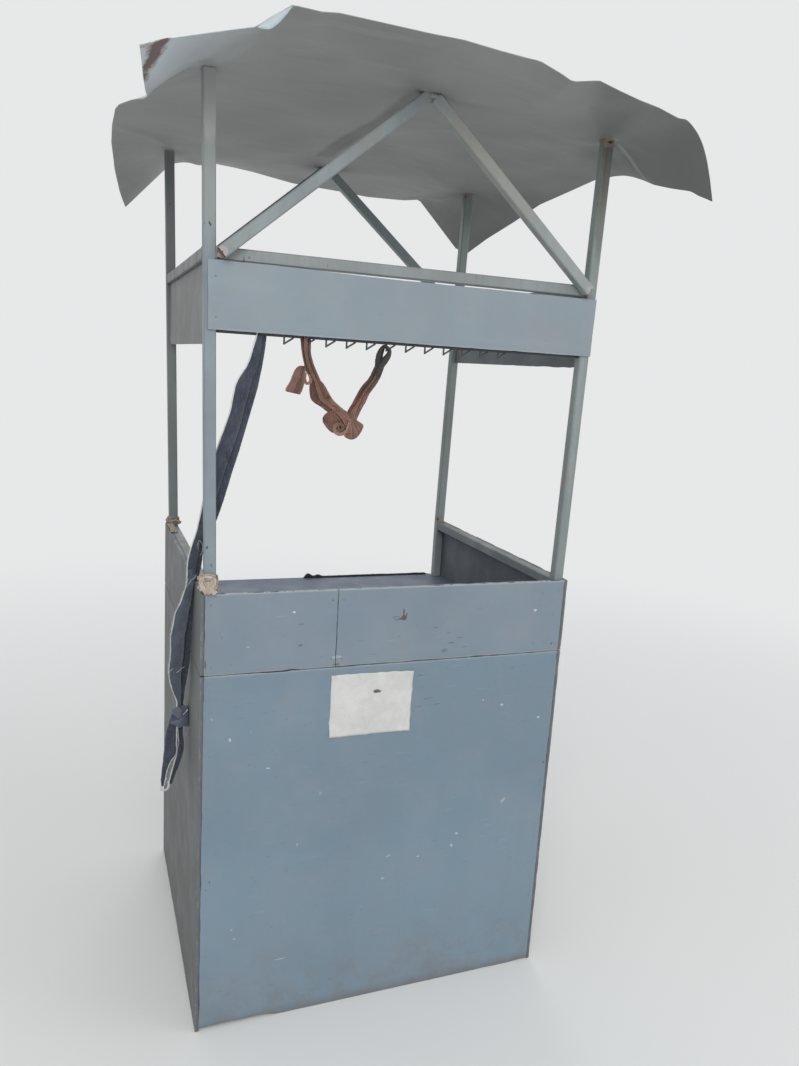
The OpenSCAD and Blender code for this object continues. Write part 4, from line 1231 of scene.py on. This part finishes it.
# loose white threads along the cut edges of the denim, in pixels
THREADS = (
    ((196.4, 574), (194.5, 578), (191.5, 579.6), (189.5, 583), (186, 588)),
    ((199.6, 556), (202.5, 551), (202.2, 544), (199.4, 540.5), (197.8, 545), (199.0, 551)),
    ((204.6, 530), (206.2, 536), (204.0, 542), (205.0, 547)),
    ((176, 673), (179, 671), (181.5, 668.5), (184.5, 667)),
    tuple((q[0] - 0.6 + 0.8 * math.sin(n * 2.1), q[1]) for n, q in enumerate(DENIM_LEFT[18:31])),
    ((177.2, 727), (176.6, 735), (177.9, 744), (176.9, 752), (171.6, 759), (168.6, 766), (166.0, 775)),
    ((173, 668), (170.4, 671), (168.6, 669.6)),
)
# how far the threads lie before the middle of the cloth, and the pixel row where its tail starts
THREADS_BEFORE = 0.0125
TAIL_START = 705


def denim():
    cloth = Cloth("denim_cloth_hung", 3)
    half_deep = [0.006] * 3 + [0.008] * 9 + [0.007] * 4 + [0.010] * 12 + [0.008] * 4
    stations = seen_strip(DENIM_LEFT, DENIM_RIGHT, DENIM_Y, half_deep)
    cloth.strip(stations[:19], [0.5, -0.8, 1, -0.5, 0.35, -1], (0.2, 0.2, 0.35, 0.1, 0.45), (1.3, 1.2),
                hem=(0.2, 1.0), dark=(0.25, 0.1))
    cloth.strip(stations[17:], [-0.6, 1, -0.3, 0.45, -1], (0.2, 0.10, 0.1, 0.80), (1.2, 1.0),
                wander=0.08, hem=(0.2, 1.0), dark=(0.05, 0.05), seed=2)
    knot = seen_at(181.6, 715.5, -0.212)
    for shift, axis, wide, high, turned, tone, seed in (
        ((0, 0.002, 0.000), (0.15, 0.1, 1), 0.0150, 0.0210, 1, 0.55, 3),
        ((0, 0, 0.008), (0.62, 0.1, 1), 0.0165, 0.0105, 1, 0.85, 5),
        ((0.001, -0.001, -0.010), (-0.55, 0.1, 1), 0.0175, 0.0110, -1, 0.72, 9),
    ):
        cloth.ring(knot + Vector(shift), axis, wide, high, [-turned, turned, -turned], tones=(0.3, tone),
                   crumple=(2.0, 1.4), seed=seed)
    spike = seen_strip([(181, 706), (184, 705.5), (187.5, 707)], [(182, 716), (185, 713), (188.2, 709.5)],
                       [-0.228, -0.230, -0.232], 0.003)
    cloth.strip(spike, [0.8, -1, 1], seed=14, hem=(0, 0.8))
    tail = seen_strip(
        [(172.5, 712), (168.6, 724), (165.6, 738), (164.4, 749), (163.2, 760), (162.2, 770), (161.2, 780),
         (161.6, 786)],
        [(181, 714), (177.8, 726), (177.5, 741), (177.4, 752), (171.6, 761), (168, 770.5), (166.2, 779),
         (165, 785)],
        np.linspace(-0.214, -0.202, 8), [0.005, 0.006, 0.008, 0.008, 0.007, 0.006, 0.005, 0.003],
    )
    cloth.strip(tail, [1, -0.8, 0.2, -1, 1], (0.2, 0.2, 0.15, 0.38), (1.2, 1.0), hem=(0.2, 0.8), seed=21)
    second = seen_strip(
        [(177.5, 716), (177.6, 730), (178.0, 742), (176.6, 753), (173.4, 764), (170.6, 774), (168.2, 783)],
        [(184, 716), (182.6, 731), (183.6, 743), (182.6, 753), (179.2, 764), (175.2, 774), (171.6, 784)],
        np.linspace(-0.208, -0.200, 7), [0.004, 0.004, 0.005, 0.006, 0.005, 0.004, 0.003],
    )
    cloth.strip(second, [-0.6, 1, -0.4, -1], (0.2, 0.2, 0.6), hem=(0.1, 0.8), seed=27)
    loop = [(166.4, 777), (164, 784), (161.4, 786.4), (161, 789.4), (163.6, 790.6), (167, 789.2),
            (168.6, 786), (168.4, 781)]
    cloth.strip(seen_band(loop, 0.9, -0.2025, 0.0008), [-1, 1], 1.0, (0.3, 1.0), hem=(1.4, 1.4), seed=33)

    def clear(points):
        """Below the rim the cloth lies against the side board; above it, behind the post."""
        rim_z, board_face, post_back, post_reach = 1.093, -0.4583, -0.3622, 0.020
        low = points[:, 2] < rim_z
        points[low, 0] = np.minimum(points[low, 0], board_face)
        post = (points[:, 2] > rim_z) & (np.abs(points[:, 0] + POST_X) < post_reach)
        points[post, 1] = np.maximum(points[post, 1], post_back)
        return points

    look = cloth_look("denim_look", (0.030, 0.038, 0.062), (0.142, 0.166, 0.214), (0.66, 0.66, 0.645), 260,
                      (0.030, 0.033, 0.042))
    obj = cloth.build(look, 0.0011, "denim_cloth", clear)
    heights = [q[1] for q in DENIM_LEFT]
    runs = []
    for line in THREADS:
        lying = []
        for n, (px, py, _) in enumerate(along([(*q, 0) for q in line], 6 * len(line))):
            on_cloth = float(np.interp(py, heights, DENIM_Y)) - THREADS_BEFORE
            y = on_cloth if py < TAIL_START else -0.214 + 0.00015 * (py - 725)
            lying.append(seen_at(px + 0.25 * math.sin(n * 1.7), py, y))
        runs.append((lying, 0.00055))
    p = Paint("thread_look")
    p.ground((0.42, 0.43, 0.43), (0.62, 0.62, 0.60), p.noise(150), 0.35, 0.65)
    strings = tubes("denim_threads", runs, p.finish(0.9), around=5, step=0.002, lump=0.16)


def rag():
    cloth = Cloth("orange_rag_hung", 60)
    y = -0.3765
    left = [(302, 328), (300.6, 335.7), (302, 352), (304.4, 364), (305.7, 369.6), (309, 377), (309.9, 383),
            (309.5, 390), (310.9, 398.4), (315, 403), (321, 406.6), (328, 412), (337, 417), (346.5, 423.4)]
    right_side = [(310, 327), (310.6, 336), (310.9, 352.5), (312.9, 362), (316.4, 371), (320.1, 379.8),
                  (323.4, 384), (326.4, 388.6), (330.0, 395.6), (333.6, 400.8), (338, 405), (344, 410),
                  (349.6, 414), (354.4, 420)]
    places = y - 0.010 * smooth_step(np.arange(14), 10, 13)
    cloth.strip(seen_strip(left, right_side, places, 0.010), [0.6, -0.8, 1, -1, 0.45, -0.25],
                (0.3, 0.3, 0.62, 0.30, 0.72), (1.8, 1.6), wander=0.35, dark=(0.45, -0.15), hem=(0.1, 0.2))
    left = [(375.0, 366), (373.4, 369), (368.6, 378.5), (361.7, 386.6), (356.1, 395.9), (352.2, 403.5),
            (347.6, 411.3), (346, 419)]
    right_side = [(384.6, 365), (383.2, 369.6), (380.2, 377.4), (375.7, 385.2), (369.6, 393.4),
                  (365.4, 402.4), (360.8, 410.2), (356.4, 420)]
    places = y + 0.002 - 0.006 * smooth_step(np.arange(8), 5, 7)
    cloth.strip(seen_strip(left, right_side, places, 0.009), [-0.6, 0.85, -1, 1, -0.3, 0.35],
                (0.3, 0.3, 0.3, 0.62, 0.70), (1.6, 1.6), wander=0.35, dark=(0.85, -0.45), hem=(0.1, 0.2),
                seed=4)
    # the dark end loops over its hook
    loop = [(375.5, 375), (377.4, 369), (378.4, 364), (378.9, 358.9), (380.7, 352), (384.6, 346.6),
            (389.2, 349.8), (388.7, 354.5), (385.5, 359.5), (381.8, 364.5), (379.0, 369), (377.0, 375)]
    places = y + 0.004 * np.cos(np.linspace(0, math.pi, len(loop)))
    half = [1.2, 2.8, 3.2, 3.4, 2.9, 1.8, 1.7, 2.3, 3.2, 3.2, 2.8, 1.2]
    cloth.strip(seen_band(loop, half, places, 0.005), [-1, 1, -0.4], (0.3, 0.45), dark=(1.0, 1.0), seed=8)
    # tail flap beside the left strand, with a small stiff loop
    flap = seen_strip(
        [(299.5, 365.8), (295.8, 368.8), (292.8, 374.8), (290.2, 381.5), (286.0, 388.6), (286.2, 391.2)],
        [(306.5, 366.5), (305.6, 369.5), (305.0, 376.5), (303.8, 384.5), (301.6, 391.5), (299.6, 394.6)],
        [y + 0.004, y - 0.004, y - 0.008, y - 0.010, y - 0.010, y - 0.010], 0.007,
    )
    cloth.strip(flap, [0.4, -0.9, 1, -0.2, 0.3, -1], (0.4, 0.4, 0.75, 0.4, 0.85), (1.4, 2.2),
                dark=(0.15, 0.30), hem=(0.1, 0.5), seed=12)
    small = [(305.2, 372.6), (304.6, 378.5), (306.6, 383.4), (310.0, 382.2), (311.2, 377.5), (309.4, 374)]
    cloth.strip(seen_band(small, 1.5, y - 0.004, 0.002), [-1, 1], 1.1, seed=15)
    # knot: a bulging lobe with a rolled end below the strands, and a fan where they meet
    lobe = seen_strip(
        [(327.6, 412.0), (323.4, 416.5), (323.2, 422), (326.6, 427.5), (331.5, 432.2)],
        [(336, 409), (346, 413), (349.0, 419), (348.5, 427.5), (344.5, 435.4)],
        y - 0.002, [0.007, 0.010, 0.010, 0.009, 0.006],
    )
    cloth.strip(lobe, [0.7, -0.9, 1, -1, 0.3], (0.3, 0.3, 0.3, 0.62), (2.6, 1.4), dark=(0.25, 0.10), seed=22)
    bridge = seen_band([(336.5, 411), (341, 415.5), (345, 421), (347.5, 428)], [4.0, 5.2, 5.2, 4.0],
                       y - 0.012, 0.004)
    cloth.strip(bridge, [0.5, -1, 1, -0.3], (0.3, 0.55, 0.66), (2.0, 1.4), dark=(0.05, 0.2), seed=24)
    count = 22
    turn = np.linspace(0.4, 2.8 * math.pi, count)
    reach = np.linspace(7.0, 1.6, count)
    rolled = np.stack([339.6 + reach * np.cos(turn), 428.2 + reach * np.sin(turn) * 0.95], 1)
    places = np.linspace(y - 0.020, y - 0.010, count)
    cloth.strip(seen_band(rolled, 1.5, places, 0.003), [-1, 1], 1.15, (1.2, 1.0), dark=(0.0, 0.6), seed=26)
    fan = seen_strip([(349.4, 418.6), (348.6, 423), (346.8, 428), (344.8, 433.4), (344.2, 436.2)],
                     [(354.6, 417.6), (356.6, 420.2), (360.4, 422.6), (363.0, 425.0), (363.4, 426.8)],
                     [y - 0.012, y - 0.014, y - 0.015, y - 0.015, y - 0.015], 0.006)
    cloth.strip(fan, [1, 0.42, 0.62, 0.02, 0.24, -0.45, -0.22, -1], (0.8, 0.4, 0.75, 0.4, 0.8, 0.4, 0.7),
                (1.0, 0.8), hem=(0.2, 0.5), wander=0.03, bow=0.016, seed=31)
    look = cloth_look("rag_look", (0.100, 0.044, 0.032), (0.360, 0.192, 0.142), (0.33, 0.245, 0.175), 420,
                      (0.040, 0.034, 0.030))
    obj = cloth.build(look, 0.0013, "orange_rag")


denim()
rag()


# Tape wraps: strips wound round a post, with loose ends.
def wrap(node, place, rows, seed, loose, tints, rough):
    """rows are bands with a height, a half width, a distance from the post and a lean.

    loose are the free ends, each with its tone, and rough is the height of wrinkles in millimetres."""
    cloth = Cloth(node + "_wound", seed)
    board_rim = 1.0925
    turns, count = 1.3, 40
    for n, (z, height, grow, lean) in enumerate(rows):
        stations = []
        for i in range(count):
            angle = 2 * math.pi * turns * i / (count - 1) + n * 1.9
            c, s = math.cos(angle), math.sin(angle)
            square = (abs(c) ** 5 + abs(s) ** 5) ** (-1 / 5)
            r = (POST_HALF + grow + 0.0004 * i / count) * square
            spot = Vector((place[0] + r * c, place[1] + r * s, z + lean * math.cos(angle + n)))
            up_half = Vector((0, 0, height * (1 + 0.3 * math.sin(angle * 3 + n))))
            stations.append((spot - up_half, spot + up_half, Vector((c, s, 0)) * 0.0012))
        cloth.strip(stations, [-1, 1, -0.7], 0.6 + 0.2 * (n % 2), (rough, rough), hem=(0.1, 0.3),
                    dark=(0.1, 0.2), seed=n * 7)
    wound = cloth.count
    for n, (stations, tone) in enumerate(loose):
        cloth.strip(stations, [-0.8, 1, -1, 0.6], (0.4, 0.6, tone), (rough * 1.8, rough * 1.6),
                    hem=(0.1, 0.3), seed=51 + 6 * n)
    look = cloth_look(node + "_look", *tints, (0.66, 0.58, 0.50), 500, (0.10, 0.07, 0.05))

    def clear(points):
        """The lowest band lies on the board's rim, and no band cuts into the post."""
        points[:wound, 2] = np.maximum(points[:wound, 2], board_rim)
        out = points[:, :2] - place
        reach = np.maximum(np.abs(out).max(axis=1), 1e-5)
        points[:, :2] = place + out * np.maximum(1, (POST_HALF + 0.0006) / reach)[:, None]
        return points

    obj = cloth.build(look, 0.0008, node, clear)


def front_tape():
    """A crumpled cream wad: two bands of 1.3 turns and five short ends pressed over each other."""
    y = -0.392
    ends = [
        (seen_band(line, half, y + nearer, 0.004), tone)
        for line, half, nearer, tone in (
            ([(198.4, 580), (203, 578), (209, 577.5), (215, 579)], 3.4, -0.004, 0.95),
            ([(199, 589), (204, 585), (210, 584), (217.5, 587)], 3.2, -0.008, 0.80),
            ([(203, 577), (202, 583), (204.5, 589), (207, 594)], 3.0, -0.010, 1.00),
            ([(213, 578), (214.5, 583), (213, 588), (216.5, 593.5)], 3.2, -0.010, 0.90),
            ([(207, 582), (209, 586), (208.5, 590), (211, 593.5)], 3.0, -0.009, 0.70),
        )
    ]
    rows = [(1.101, 0.0080, 0.0022, 0.0015), (1.117, 0.0080, 0.0030, -0.002)]
    wrap("front_post_wrap", (-POST_X, -POST_Y), rows, 90, ends,
         ((0.36, 0.285, 0.225), (0.64, 0.575, 0.50)), 1.6)


def rear_tape():
    """Three thin brown bands like string, with a pale scrap that lies on the board's rim."""
    ends = [
        (seen_band(line, half, place, 0.002), tone)
        for line, half, place, tone in (
            ([(166, 519), (170.5, 521.5), (175.5, 520), (181, 522.5)], 1.2, 0.3555, 0.9),
            ([(166, 523), (170, 521.5), (175, 524), (180.5, 522)], 1.1, 0.3560, 0.5),
        )
    ]
    scrap_left, scrap_right = -0.4535, -0.4365
    scrap = [
        (Vector((scrap_left, y, z)), Vector((scrap_right, y - 0.001, z)), Vector((0, 0, 0.0012)))
        for y, z in (
            (0.3600, 1.0990), (0.3480, 1.0955), (0.3200, 1.0940), (0.2900, 1.0955), (0.2650, 1.0935),
            (0.2450, 1.0940),
        )
    ]
    rows = [
        (1.0975, 0.0040, 0.0018, 0.002), (1.1040, 0.0045, 0.0034, -0.0025), (1.1105, 0.0035, 0.0024, 0.003),
    ]
    wrap("rear_post_wrap", (-POST_X, POST_Y), rows, 120, ends + [(scrap, 1.1)],
         ((0.15, 0.105, 0.075), (0.46, 0.39, 0.32)), 1.0)


front_tape()
rear_tape()

# Stage.
FLOOR = (0.80, 0.80, 0.79)
BACKDROP = (0.80, 0.805, 0.81)


def floor_look():
    """Pale where it is seen. Away from the object it fades into the backdrop's colour."""
    p = Paint("floor_look")
    seen = p.seen()
    p.color = p.mix(seen, (0.70, 0.69, 0.68), FLOOR)
    material = p.finish(0.95)
    p.shader.inputs["Specular IOR Level"].default_value = 0.0
    away = p.times(p.span(p.math3("LENGTH", p.place, output=1), 1.3, 5.0), seen)
    glow = p.node("ShaderNodeEmission", {"Color": BACKDROP})
    p.feed(p.out.inputs[0], p.blend(away, p.shader, glow))
    return material


def stage():
    size = 60
    corners = [(-size, -size, 0), (size, -size, 0), (size, size, 0), (-size, size, 0)]
    floor = bare_mesh("floor", corners, [(0, 1, 2, 3)], floor_look())


def light(name, place, aim, size, power, color):
    data = bpy.data.lights.new(name, "AREA")
    data.shape = "RECTANGLE"
    data.size = data.size_y = size
    data.energy = power
    data.color = color
    obj = bpy.data.objects.new(name, data)
    scene.collection.objects.link(obj)
    obj.location = place
    obj.rotation_mode = "QUATERNION"
    obj.rotation_quaternion = (Vector((0, 0, aim)) - Vector(place)).to_track_quat("-Z", "Y")


stage()
light("key", (-1.5, -4.7, 4.2), 1.1, 3.2, 142, (1.0, 0.99, 0.97))
light("fill", (4.4, -2.6, 2.6), 1.1, 3.0, 38, (0.95, 0.975, 1.0))
light("back", (0.5, 4.5, 4.0), 1.3, 3.5, 62, (1.0, 1.0, 1.0))

world = bpy.data.worlds.new("world")
scene.world = world
around = Nodes(world)
sky = around.node("ShaderNodeBackground", {0: (0.94, 0.97, 1.0), 1: 0.60})
plain = around.node("ShaderNodeBackground", {0: BACKDROP, 1: 1.0})
around.node("ShaderNodeOutputWorld", {0: around.blend(around.seen(), sky, plain)})

scene.view_settings.view_transform = "Standard"
